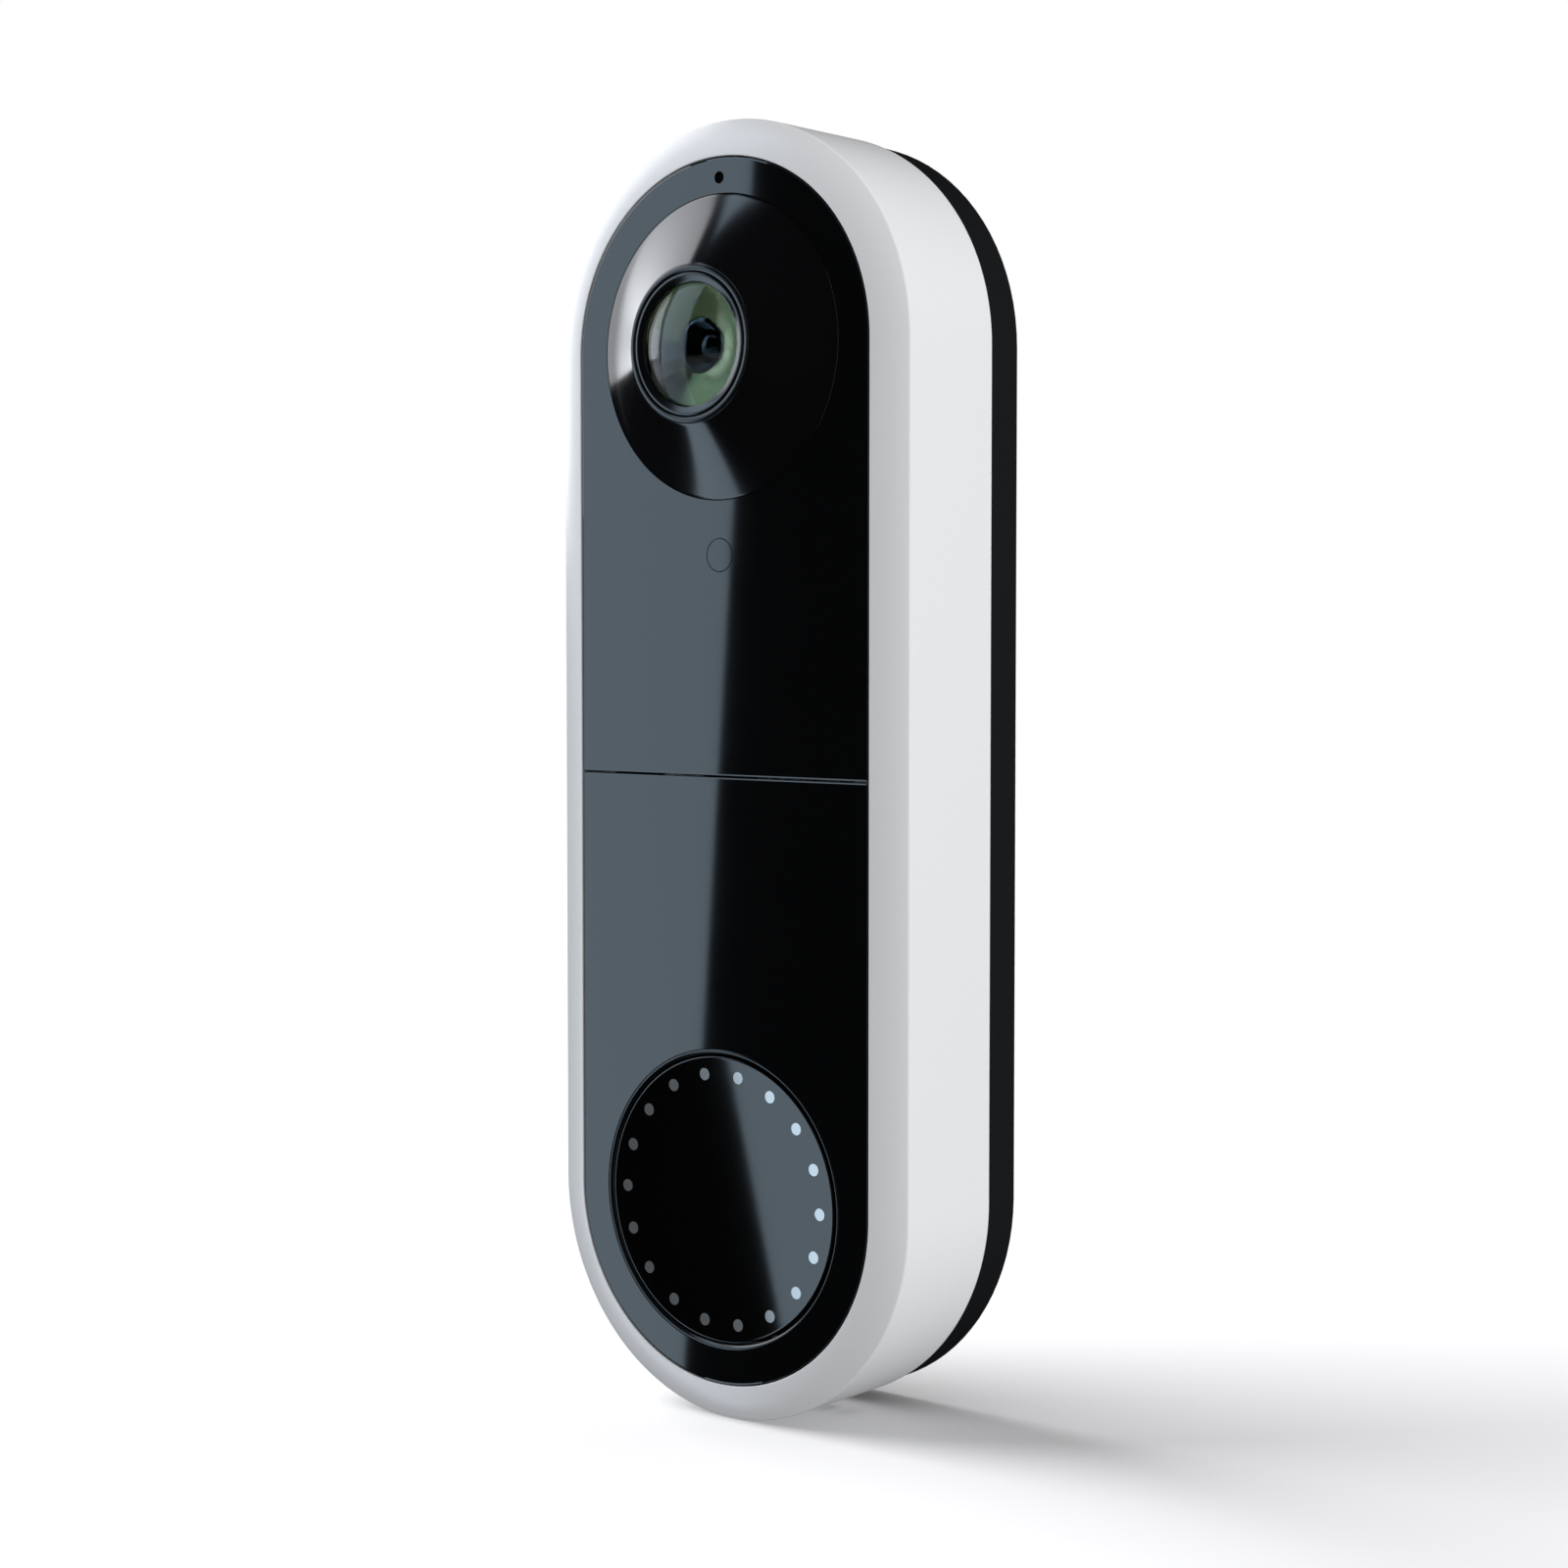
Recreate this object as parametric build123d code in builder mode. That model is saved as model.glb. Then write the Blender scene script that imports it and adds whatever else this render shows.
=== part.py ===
"""Wall-mounted video doorbell, built as an assembly of separate pieces.

Frame: the origin is the centre of the mounting plate's back face, on the wall. X runs to the right as seen
from the front, +Y runs into the wall and +Z runs up. A depth is a distance out from the wall, so a sketch at
depth d lies on Plane.XZ.offset(d) and a positive extrusion comes out towards the front.
"""

from build123d import *
from math import atan, cos, degrees
import os

os.makedirs("parts", exist_ok=True)

# ---- overall sizes (mm) ----
width = 45.0
height = 130.0
plate_depth = 4.8             # mounting plate, wall to its front edge
shadow_gap = 0.2              # line between the plate and the housing
housing_depth = 15.2          # housing, from its back edge to the face panels
camera_drop = 22.5            # top end down to the camera's axis
button_rise = 22.5            # bottom end up to the button's axis

# ---- housing ----
rim_width = 3.75
rim_fall = 1.64               # the rim drops this far back at its outer edge
rim_crown = 0.30              # how much the rim bulges over a straight bevel
side_draft = 0.2              # the side wall narrows this much towards the back
wall = 2.4
deck_thickness = 1.4          # inner front wall that carries the panels and boards
panel_thickness = 1.8
panel_gap = 0.15              # gap between the panels and the rim
seam_gap = 0.16               # gap between the two panels
panel_edge = 0.18             # bevel on the panels' edges

# ---- back cover ----
cover_inset = 0.4
cover_thickness = 1.6
cover_gap = 0.1
gasket_thickness = 0.6
gasket_width = 0.8

# ---- camera ----
cone_radius = 15.06
cone_rise = 4.5
cone_wall = 1.1
ring_radius = 6.98            # retaining ring; the glass, neck and trim ring follow it
glass_border = 0.94           # width of the retaining ring round the glass
neck_border = 0.53            # width of the retaining ring round the barrel's neck
trim_gap = 0.11               # dark groove between the retaining ring and the trim ring
trim_width = 0.58
trim_height = 1.0
trim_stand = 0.14             # the trim ring stands this far out of the cone
glass_rise = 1.1              # dome of the front glass over its edge
glass_lip = 0.45              # the glass's edge lies this far behind the ring's front
glass_rim = 0.9               # thickness of the front glass at its edge
glass_stand = 4.2             # the glass's edge stands this far in front of the panels
thread_radius = 6.0
tube_wall = 1.4
tube_space = 0.6              # between the holder's tube and the deck
holder_height = 16.0
filter_travel = 6.4
filter_size = 6.0
light_pipe_radius = 1.62
light_pipe_drop = 20.5        # below the camera axis
microphone_rise = 16.64       # above the camera axis
microphone_radius = 0.6

# ---- call button ----
button_radius = 14.42
button_gap = 0.21             # between the cap and the trim ring round it
trim_ring_width = 0.52
button_dish = 0.26
button_sink = 0.1             # the cap's edge lies this far behind the panels' face
button_travel = 0.5
button_wall = 1.4
pip_count = 18
pip_inset = 1.77              # cap's edge to the middle of a pip
pip_radius = 0.62
stem_radius = 2.2

# ---- boards ----
board_thickness = 1.0
board_space = 1.0             # space between neighbouring boards
camera_board_lift = 1.4       # boards stand this far off the back cover
main_board_lift = 2.0
speaker_height = 3.3
speaker_space = 0.1           # between the speaker and the button board

# ---- plate, latch and fixings ----
plate_inset = 0.2             # the plate's front edge lies inside the housing's back edge
plate_draft = 0.2
plate_wall = 2.1
plate_web = 1.6
wall_screw_spacing = 96.0
wall_screw_radius = 2.2
wall_screw_head = 4.2
wire_opening_width = 18.0
wire_opening_height = 24.0
latch_width = 8.0
latch_clearance = 0.15
tab_width = 10.0
screw_radius = 1.0
cover_head_radius = 1.9
cover_head_height = 0.9
boss_radius = 1.8
boss_space = 0.15             # between a screw boss and the side wall

# ---- clearances ----
seated_fit = 0.03             # radial clearance of a piece seated in its bore
slide_fit = 0.05              # radial clearance of a running fit
loose_fit = 0.2               # clearance between pieces that move past each other

# ---- derived places ----
arc_z = (height - width) / 2
camera_z = height / 2 - camera_drop
button_z = -height / 2 + button_rise
half_width = width / 2
housing_back = plate_depth + shadow_gap
panel_depth = housing_back + housing_depth
crease_depth = panel_depth - rim_fall
back_radius = half_width - side_draft
panel_radius = half_width - rim_width
deck_front = panel_depth - panel_thickness
deck_back = deck_front - deck_thickness
cavity_radius = back_radius - wall
cover_back = housing_back + cover_inset
cover_front = cover_back + cover_thickness
shoulder_depth = cover_front + gasket_thickness
cover_radius = cavity_radius + gasket_width
light_pipe_z = camera_z - light_pipe_drop
microphone_z = camera_z + microphone_rise
glass_radius = ring_radius - glass_border
neck_radius = ring_radius - neck_border
trim_inner = ring_radius + trim_gap
trim_outer = trim_inner + trim_width
tube_radius = thread_radius + tube_wall
trim_ring_radius = button_radius + button_gap + trim_ring_width
pip_circle = button_radius - pip_inset
speaker_front = cover_front + gasket_thickness
speaker_back = speaker_front + speaker_height
camera_board_depth = cover_front + camera_board_lift
main_board_depth = cover_front + main_board_lift
button_board_depth = speaker_back + speaker_space
overshoot = 1.0               # a cutter reaches this far past what it cuts


def stadium(radius):
    """Upright outline with half-round ends, concentric with the housing's own outline."""
    SlotOverall(2 * (arc_z + radius), 2 * radius, rotation=90)


def reach_limit(reach):
    """Trim a sketch to the plate's inner outline grown by a reach, so tabs and pockets follow the curved wall."""
    SlotOverall(
        2 * (plate_inner_z + reach), 2 * (plate_inner_radius + reach), rotation=90, mode=Mode.INTERSECT
    )


def axis_at(z):
    """Axis along the depth direction at height z."""
    return Axis((0, 0, z), (0, -1, 0))


def profile_at(z):
    """Plane for turned pieces: local x is depth from the wall, local y is radius from the axis at height z."""
    return Plane(origin=(0, 0, z), x_dir=(0, -1, 0), z_dir=(-1, 0, 0))


def turned(z, points):
    """Revolve a closed outline of (depth, radius) points about the depth axis at height z."""
    with BuildSketch(profile_at(z)) as outline:
        with BuildLine():
            Polyline(*points, close=True)
        make_face()
    revolve(outline.sketch, axis=axis_at(z))


def domed(depth, radius, rise):
    """Arc from (depth, radius) to the axis at depth + rise; a negative rise leans towards the wall."""
    curve = (radius ** 2 + rise ** 2) / (2 * abs(rise))
    middle_rise = (curve ** 2 - (radius / 2) ** 2) ** 0.5 - (curve - abs(rise))
    middle = (depth + middle_rise * rise / abs(rise), radius / 2)
    ThreePointArc((depth, radius), middle, (depth + rise, 0))


def finish(part, label):
    """Name a finished piece and write it."""
    part.label = label
    export_step(part, f"parts/{label}.step")


# ---- places shared by bosses, boards and screws ----
boss_reach = cavity_radius - boss_radius - boss_space
board_radius = boss_reach - boss_radius - boss_space
board_side_space = 4.9        # side wall to the boards' straight edges
board_width = 2 * (cavity_radius - board_side_space)
diagonal = boss_reach / 2 ** 0.5
side_boss_x = boss_reach - boss_space
cover_screw_places = [
    (sx * diagonal, sz * (arc_z + diagonal)) for sx in (-1, 1) for sz in (-1, 1)
] + [(-side_boss_x, 0), (side_boss_x, 0)]

pipe_margin = 5.0             # board below the light pipe
button_board_reach = 21.0     # button axis to the top of its board
camera_board_bottom = light_pipe_z - pipe_margin
button_board_top = button_z + button_board_reach
main_board_top = camera_board_bottom - board_space
main_board_bottom = button_board_top + board_space
main_board_height = main_board_top - main_board_bottom
main_board_z = (main_board_top + main_board_bottom) / 2

board_hole_inset = 2.6
main_hole_drop = 3.0
button_hole_drop = 2.4
board_hole_x = board_width / 2 - board_hole_inset
camera_upper_x = 9.6
camera_upper_z = camera_z + 10.4
camera_boss_places = [(s * board_hole_x, light_pipe_z) for s in (-1, 1)]
camera_boss_places += [(s * camera_upper_x, camera_upper_z) for s in (-1, 1)]
main_boss_places = [
    (s * board_hole_x, z)
    for s in (-1, 1)
    for z in (main_board_top - main_hole_drop, main_board_bottom + main_hole_drop)
]
button_boss_places = [(s * board_hole_x, button_board_top - button_hole_drop) for s in (-1, 1)]
board_bosses = [
    (camera_board_depth + board_thickness, camera_boss_places),
    (main_board_depth + board_thickness, main_boss_places),
    (button_board_depth + board_thickness, button_boss_places),
]
board_boss_radius = 1.7
board_screw_radius = 0.8
board_hole_radius = board_screw_radius + 0.1
pilot_depth = 4.0
cover_pilot_depth = 5.5
pilot_end = 0.5               # free thread past the end of a screw

# ---- camera stack, as depths from the wall ----
sensor_thickness = 1.0
sensor_air = 0.5              # sensor's face to the sliding filter
filter_thickness = 1.2
holder_roof = 0.9             # holder's wall in front of the filter slot
tube_height = 2.8
neck_length = 1.4
head_length = 2.9
holder_back = camera_board_depth + board_thickness
filter_back = holder_back + sensor_thickness + sensor_air
filter_front = filter_back + filter_thickness
slot_back = filter_back - loose_fit
slot_front = filter_front + loose_fit
holder_front = slot_front + holder_roof
tube_front = holder_front + tube_height
barrel_back = slot_front + loose_fit
ring_front = panel_depth + glass_stand + glass_lip
neck_front = panel_depth + glass_stand - glass_rim
head_front = neck_front - neck_length
head_back = head_front - head_length
cone_top = panel_depth + cone_rise
cone_slope = cone_rise / (cone_radius - trim_outer - slide_fit)
cone_inner_drop = cone_wall / cos(atan(cone_slope))
infrared_board_back = deck_front + 0.1
infrared_board_thickness = 0.6

# ---- call button stack ----
switch_height = 2.4
plunger_stand = 0.6           # the plunger stands this far out of the switch
plunger_radius = 1.6
skirt_length = 1.1            # the cap's skirt reaches this far behind the deck
flange_width = 0.66
seal_gap = 0.32
seal_wall = 0.7
switch_back = button_board_depth + board_thickness
switch_front = switch_back + switch_height
plunger_front = switch_front + plunger_stand
cap_front = panel_depth - button_sink
cap_back = cap_front - button_wall
skirt_back = deck_back - skirt_length
skirt_wall = 1.05
flange_radius = button_radius + flange_width
deck_button_radius = button_radius + loose_fit
seal_inner = flange_radius + seal_gap
seal_outer = seal_inner + seal_wall
guide_thickness = 1.5

# ---- speaker ----
speaker_radius = 10.0
speaker_drop = 1.0            # below the button's axis
speaker_z = button_z - speaker_drop
outlet_count = 7
outlet_pitch = 2.5
outlet_width = 1.1
outlet_sill = 0.3             # shoulder to the outlet's back end
outlet_back = shoulder_depth + outlet_sill
outlet_height = 2.6

# ---- latch and plate ----
plate_front_radius = back_radius - plate_inset
plate_back_radius = plate_front_radius - plate_draft
plate_inner_radius = plate_back_radius - plate_wall
window_land = 0.9             # plate left behind and in front of the catch pockets
window_back = plate_web + window_land
window_front = plate_depth - window_land
tongue_back = window_back + loose_fit
tongue_front = window_front - loose_fit
tongue_reach = 0.75           # how far the tab and the latch nose enter the plate's wall
tab_root = 4.0
tab_neck = 3.2
pin_hole_radius = 0.6
plate_inner_z = arc_z + plate_inner_radius
latch_drop = 1.2              # plate's inner wall to the latch's lower end
latch_bottom = -(plate_inner_z - latch_drop)
latch_height = 10.0
latch_top = latch_bottom + latch_height
nose_width = 4.0
rail_width = 1.25
rail_lip = 0.8
rail_space = 0.3              # plate's web to the rails' lips
lip_thickness = 0.6
latch_front = cover_back - loose_fit
lip_back = plate_web + rail_space
lip_front = lip_back + lip_thickness
latch_back = lip_front + loose_fit
spring_radius = 0.85
spring_wire = 0.2
spring_length = 6.0
spring_turns = 6
spring_depth = (latch_front + latch_back) / 2
stop_height = 1.6

# ---- terminals ----
terminal_x = 6.0
terminal_post_radius = 2.5
terminal_thread = 1.5
terminal_head = 3.0
terminal_head_height = 1.9


# ======== front housing ========
with BuildPart() as front_housing:
    # half section across the straight sides: x outwards, y into the wall
    with BuildSketch(Plane.XY) as half_section:
        with BuildLine():
            crown = ((half_width + panel_radius) / 2, -(panel_depth - rim_fall / 2 + rim_crown))
            back_edge = (back_radius, -housing_back)
            Line((0, -housing_back), back_edge)
            Line(back_edge, (half_width, -crease_depth))
            ThreePointArc((half_width, -crease_depth), crown, (panel_radius, -panel_depth))
            Line((panel_radius, -panel_depth), (0, -panel_depth))
            Line((0, -panel_depth), (0, -housing_back))
        make_face()
    extrude(amount=arc_z, both=True)
    mirror(about=Plane.YZ)
    for side in (-1, 1):
        with BuildSketch(Plane.XY.offset(side * arc_z)):
            add(half_section.sketch)
        revolve(axis=Axis((0, 0, side * arc_z), (0, 1, 0)), revolution_arc=-side * 180)
    # pocket for the face panels, then the cavity behind the deck and the seat of the back cover
    with BuildSketch(Plane.XZ.offset(deck_front)):
        stadium(panel_radius)
    extrude(amount=panel_depth, mode=Mode.SUBTRACT)
    with BuildSketch(Plane.XZ.offset(0)):
        stadium(cavity_radius)
    extrude(amount=deck_back, mode=Mode.SUBTRACT)
    with BuildSketch(Plane.XZ.offset(0)):
        stadium(cover_radius + cover_gap)
    extrude(amount=shoulder_depth, mode=Mode.SUBTRACT)
    # bosses for the cover screws and for the boards
    with BuildSketch(Plane.XZ.offset(cover_front)):
        with Locations(*cover_screw_places):
            Circle(boss_radius)
    extrude(until=Until.NEXT)
    for boss_back, places in board_bosses:
        with BuildSketch(Plane.XZ.offset(boss_back)):
            with Locations(*places):
                Circle(board_boss_radius)
        extrude(amount=deck_back - boss_back)
    # pilot holes
    with BuildSketch(Plane.XZ.offset(cover_front)):
        with Locations(*cover_screw_places):
            Circle(screw_radius)
    extrude(amount=cover_pilot_depth, mode=Mode.SUBTRACT)
    for boss_back, places in board_bosses:
        with BuildSketch(Plane.XZ.offset(boss_back)):
            with Locations(*places):
                Circle(board_screw_radius)
        extrude(amount=pilot_depth, mode=Mode.SUBTRACT)
    # openings in the deck: camera, call button, light pipe, microphone
    with BuildSketch(Plane.XZ.offset(deck_back)):
        with Locations((0, camera_z)):
            Circle(tube_radius + tube_space)
        with Locations((0, button_z)):
            Circle(deck_button_radius)
        with Locations((0, light_pipe_z)):
            Circle(light_pipe_radius + slide_fit)
        with Locations((0, microphone_z)):
            Circle(microphone_radius + loose_fit)
    extrude(amount=deck_thickness, mode=Mode.SUBTRACT)
    # speaker outlet slots through the bottom wall
    with BuildSketch(Plane.XY.offset(-height / 2 - overshoot)):
        with Locations((0, -(outlet_back + outlet_height / 2))):
            with GridLocations(outlet_pitch, 0, outlet_count, 1):
                SlotOverall(outlet_height, outlet_width, rotation=90)
    extrude(amount=half_width / 2, mode=Mode.SUBTRACT)
finish(front_housing.part, "front_housing")

# ======== face panels ========
panel_outline = panel_radius - panel_gap

with BuildPart() as upper_panel:
    with BuildSketch(Plane.XZ.offset(deck_front)):
        stadium(panel_outline)
        with Locations((0, seam_gap / 2)):
            Rectangle(width, height, align=(Align.CENTER, Align.MIN), mode=Mode.INTERSECT)
        with Locations((0, camera_z)):
            Circle(cone_radius + slide_fit, mode=Mode.SUBTRACT)
        with Locations((0, light_pipe_z)):
            Circle(light_pipe_radius + slide_fit, mode=Mode.SUBTRACT)
        with Locations((0, microphone_z)):
            Circle(microphone_radius, mode=Mode.SUBTRACT)
    extrude(amount=panel_thickness)
    front_face = faces().filter_by(Axis.Y).sort_by(Axis.Y)[0]
    chamfer(front_face.outer_wire().edges(), panel_edge)
finish(upper_panel.part, "upper_panel")

with BuildPart() as lower_panel:
    with BuildSketch(Plane.XZ.offset(deck_front)):
        stadium(panel_outline)
        with Locations((0, -seam_gap / 2)):
            Rectangle(width, height, align=(Align.CENTER, Align.MAX), mode=Mode.INTERSECT)
        with Locations((0, button_z)):
            Circle(trim_ring_radius + slide_fit, mode=Mode.SUBTRACT)
    extrude(amount=panel_thickness)
    front_face = faces().filter_by(Axis.Y).sort_by(Axis.Y)[0]
    chamfer(front_face.outer_wire().edges(), panel_edge)
finish(lower_panel.part, "lower_panel")

# ======== camera: bezel, rings and seal ========
shelf_thickness = 0.6
trim_bevel = 0.14
cone_mouth = trim_outer + slide_fit
shelf_front = cone_top - trim_height
shelf_back = shelf_front - shelf_thickness


def cone_inside(radius):
    """Depth of the cone's inner surface at a radius."""
    return panel_depth + (cone_radius - radius) * cone_slope - cone_inner_drop


cone_inner_radius = cone_radius - cone_wall
shelf_outer = cone_radius - (shelf_back + cone_inner_drop - panel_depth) / cone_slope

with BuildPart() as lens_cone:
    turned(camera_z, [
        (deck_front, cone_radius),
        (panel_depth, cone_radius),
        (cone_top, cone_mouth),
        (shelf_front, cone_mouth),
        (shelf_front, trim_inner),
        (shelf_back, trim_inner),
        (shelf_back, shelf_outer),
        (cone_inside(cone_inner_radius), cone_inner_radius),
        (deck_front, cone_inner_radius),
    ])
finish(lens_cone.part, "lens_cone")

with BuildPart() as lens_trim_ring:
    turned(camera_z, [
        (shelf_front, trim_inner),
        (shelf_front, trim_outer),
        (cone_top, trim_outer),
        (cone_top + trim_stand, trim_outer - trim_bevel),
        (cone_top + trim_stand, trim_inner + trim_bevel),
        (cone_top, trim_inner),
    ])
finish(lens_trim_ring.part, "lens_trim_ring")

ring_bevel = 0.12
ring_land = 0.3               # flat at the ring's front
ring_slope = 0.15             # fall from that flat to the glass
ring_chamfer = 0.1
with BuildPart() as lens_retaining_ring:
    turned(camera_z, [
        (head_front, neck_radius + slide_fit),
        (head_front, ring_radius),
        (ring_front - ring_bevel, ring_radius),
        (ring_front, ring_radius - ring_bevel),
        (ring_front, ring_radius - ring_land),
        (ring_front - ring_slope, glass_radius + ring_chamfer),
        (ring_front - ring_slope - ring_chamfer, glass_radius),
        (ring_front - glass_lip, glass_radius),
        (ring_front - glass_lip, neck_radius + slide_fit),
    ])
finish(lens_retaining_ring.part, "lens_retaining_ring")

seal_section = 0.4
seal_space = 0.1
seal_room = 1.0               # depth kept for the seal behind the cone's shelf
with BuildPart() as lens_seal:
    with BuildSketch(profile_at(camera_z)):
        with Locations((shelf_back - seal_section - seal_space, ring_radius + seal_section + slide_fit)):
            Circle(seal_section)
    revolve(axis=axis_at(camera_z))
finish(lens_seal.part, "lens_seal")

shield_gap = 0.08
shield_wall = 0.72
shield_inner = ring_radius + shield_gap
shield_outer = shield_inner + shield_wall
shield_front = shelf_back - seal_room
with BuildPart() as light_shield:
    turned(camera_z, [
        (infrared_board_back, shield_inner),
        (infrared_board_back, shield_outer),
        (shield_front, shield_outer),
        (shield_front, shield_inner),
    ])
finish(light_shield.part, "light_shield")

# ======== camera: optics ========
bore_front = 4.45
bore_mid = 3.45
bore_rear = 2.6
lens_rim = 0.6
front_bore_length = 4.1
rear_bore_length = 1.4
second_seat = neck_front - front_bore_length
mid_shoulder = barrel_back + rear_bore_length

with BuildPart() as lens_barrel:
    turned(camera_z, [
        (barrel_back, bore_rear),
        (barrel_back, thread_radius),
        (head_back, thread_radius),
        (head_back, ring_radius),
        (head_front, ring_radius),
        (head_front, neck_radius),
        (neck_front, neck_radius),
        (neck_front, bore_front),
        (second_seat, bore_front),
        (second_seat, bore_mid),
        (mid_shoulder, bore_mid),
        (mid_shoulder, bore_rear),
    ])
finish(lens_barrel.part, "lens_barrel")

glass_edge = ring_front - glass_lip
glass_edge_radius = glass_radius - slide_fit
lens_edge_radius = neck_radius - seated_fit
dish_radius = 4.0
dish_height = 1.1
with BuildPart() as front_lens:
    with BuildSketch(profile_at(camera_z)):
        with BuildLine():
            Polyline(
                (neck_front, dish_radius),
                (neck_front, lens_edge_radius),
                (glass_edge, lens_edge_radius),
                (glass_edge, glass_edge_radius),
            )
            domed(glass_edge, glass_edge_radius, glass_rise)
            Line((glass_edge + glass_rise, 0), (neck_front + dish_height, 0))
            domed(neck_front, dish_radius, dish_height)
        make_face()
    revolve(axis=axis_at(camera_z))
finish(front_lens.part, "front_lens")


def lens_element(z, radius, back, front, back_bulge, front_bulge):
    """Turned lens with a flat rim; a positive bulge stands out of that face and a negative one is hollow."""
    optic = radius - lens_rim
    with BuildSketch(profile_at(z)) as outline:
        with BuildLine():
            Polyline((back, optic), (back, radius), (front, radius), (front, optic))
            domed(front, optic, front_bulge)
            Line((front + front_bulge, 0), (back - back_bulge, 0))
            domed(back, optic, -back_bulge)
        make_face()
    revolve(outline.sketch, axis=axis_at(z))


second_thickness = 1.6
second_hollow = 0.5
second_bulge = 0.7
second_front = second_seat + second_thickness
with BuildPart() as second_lens:
    lens_element(camera_z, bore_front - seated_fit, second_seat, second_front, -second_hollow, second_bulge)
finish(second_lens.part, "second_lens")

rear_spacer_length = 0.8
third_thickness = 1.4
third_back_bulge = 0.5
third_front_bulge = 0.6
third_back = mid_shoulder + rear_spacer_length
third_front = third_back + third_thickness
mid_seat = bore_mid - seated_fit
with BuildPart() as third_lens:
    lens_element(camera_z, mid_seat, third_back, third_front, third_back_bulge, third_front_bulge)
finish(third_lens.part, "third_lens")

stop_space = 0.5
stop_thickness = 0.2
aperture_radius = 1.1
stop_front = second_seat - stop_space
stop_back = stop_front - stop_thickness
with BuildPart() as aperture_stop:
    turned(camera_z, [
        (stop_back, aperture_radius), (stop_back, mid_seat), (stop_front, mid_seat), (stop_front, aperture_radius),
    ])
finish(aperture_stop.part, "aperture_stop")

spacer_wall = 0.47
front_spacer_foot = 0.37
front_spacer_tip = 0.12
front_seat = bore_front - seated_fit
with BuildPart() as lens_spacers:
    turned(camera_z, [
        (second_front, front_seat - front_spacer_foot),
        (second_front, front_seat),
        (neck_front, front_seat),
        (neck_front, front_seat - front_spacer_tip),
    ])
    for back, front in ((mid_shoulder, third_back), (third_front, stop_back)):
        turned(camera_z, [
            (back, mid_seat - spacer_wall), (back, mid_seat), (front, mid_seat), (front, mid_seat - spacer_wall),
        ])
finish(lens_spacers.part, "lens_spacers")

# ======== camera: holder, sliding filter and sensor ========
frame_end = 0.6               # frame beyond its glasses, at each end
frame_side = 0.8              # frame above and below its glasses
frame_length = filter_travel + filter_size + 2 * frame_end
frame_height = filter_size + 2 * frame_side
slot_length = frame_length + filter_travel + 2 * loose_fit
magnet_height = 1.2
slot_height = frame_height + 2 * (magnet_height + loose_fit)
frame_x = -filter_travel / 2
glass_places = [(0, camera_z), (-filter_travel, camera_z)]
holder_end_wall = 1.8
holder_corner = 1.0
holder_screw_inset = 2.5
holder_screw_edge = 1.4
holder_skin = 0.6             # left in front of the holder's screw holes
holder_width = slot_length + 2 * holder_end_wall
holder_screw_x = holder_width / 2 - holder_screw_inset
holder_screw_z = holder_height / 2 - holder_screw_edge
holder_screw_places = [(holder_screw_x, camera_z + holder_screw_z), (-holder_screw_x, camera_z - holder_screw_z)]
sensor_width = 8.4
sensor_height = 6.4
sensor_space = 0.25

with BuildPart() as lens_holder:
    with BuildSketch(Plane.XZ.offset(holder_back)):
        with Locations((0, camera_z)):
            Rectangle(holder_width, holder_height)
    extrude(amount=holder_front - holder_back)
    fillet(edges().filter_by(Axis.Y), holder_corner)
    with BuildSketch(Plane.XZ.offset(holder_front)):
        with Locations((0, camera_z)):
            Circle(tube_radius)
    extrude(amount=tube_front - holder_front)
    with BuildSketch(Plane.XZ.offset(slot_front)):
        with Locations((0, camera_z)):
            Circle(thread_radius + slide_fit)
    extrude(amount=tube_front - slot_front, mode=Mode.SUBTRACT)
    with BuildSketch(Plane.XZ.offset(slot_back)):
        with Locations((0, camera_z)):
            Rectangle(slot_length, slot_height)
    extrude(amount=slot_front - slot_back, mode=Mode.SUBTRACT)
    with BuildSketch(Plane.XZ.offset(holder_back)):
        with Locations((0, camera_z)):
            Rectangle(sensor_width + 2 * sensor_space, sensor_height + 2 * sensor_space)
    extrude(amount=slot_back - holder_back, mode=Mode.SUBTRACT)
    with BuildSketch(Plane.XZ.offset(holder_back)):
        with Locations(*holder_screw_places):
            Circle(board_screw_radius)
    extrude(amount=holder_front - holder_back - holder_skin, mode=Mode.SUBTRACT)
finish(lens_holder.part, "lens_holder")

filter_seat = 0.6             # depth of the pocket that holds a glass
filter_glass_thickness = 0.5
frame_opening = filter_size - 0.6
with BuildPart() as filter_frame:
    with BuildSketch(Plane.XZ.offset(filter_back)):
        with Locations((frame_x, camera_z)):
            Rectangle(frame_length, frame_height)
        with Locations(*glass_places):
            Rectangle(frame_opening, frame_opening, mode=Mode.SUBTRACT)
    extrude(amount=filter_thickness)
    with BuildSketch(Plane.XZ.offset(filter_front)):
        with Locations(*glass_places):
            Rectangle(filter_size, filter_size)
    extrude(amount=-filter_seat, mode=Mode.SUBTRACT)
finish(filter_frame.part, "filter_frame")

glass_side = filter_size - 2 * slide_fit
for label, place in (("day_filter_glass", glass_places[0]), ("night_clear_glass", glass_places[1])):
    with BuildPart() as filter_glass:
        with BuildSketch(Plane.XZ.offset(filter_front - filter_seat)):
            with Locations(place):
                Rectangle(glass_side, glass_side)
        extrude(amount=filter_glass_thickness)
    finish(filter_glass.part, label)

magnet_length = 3.0
magnet_inset = 0.1
with BuildPart() as filter_magnet:
    with BuildSketch(Plane.XZ.offset(filter_back + magnet_inset)):
        with Locations((frame_x, camera_z + frame_height / 2)):
            Rectangle(magnet_length, magnet_height, align=(Align.CENTER, Align.MIN))
    extrude(amount=filter_thickness - 2 * magnet_inset)
finish(filter_magnet.part, "filter_magnet")

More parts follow.
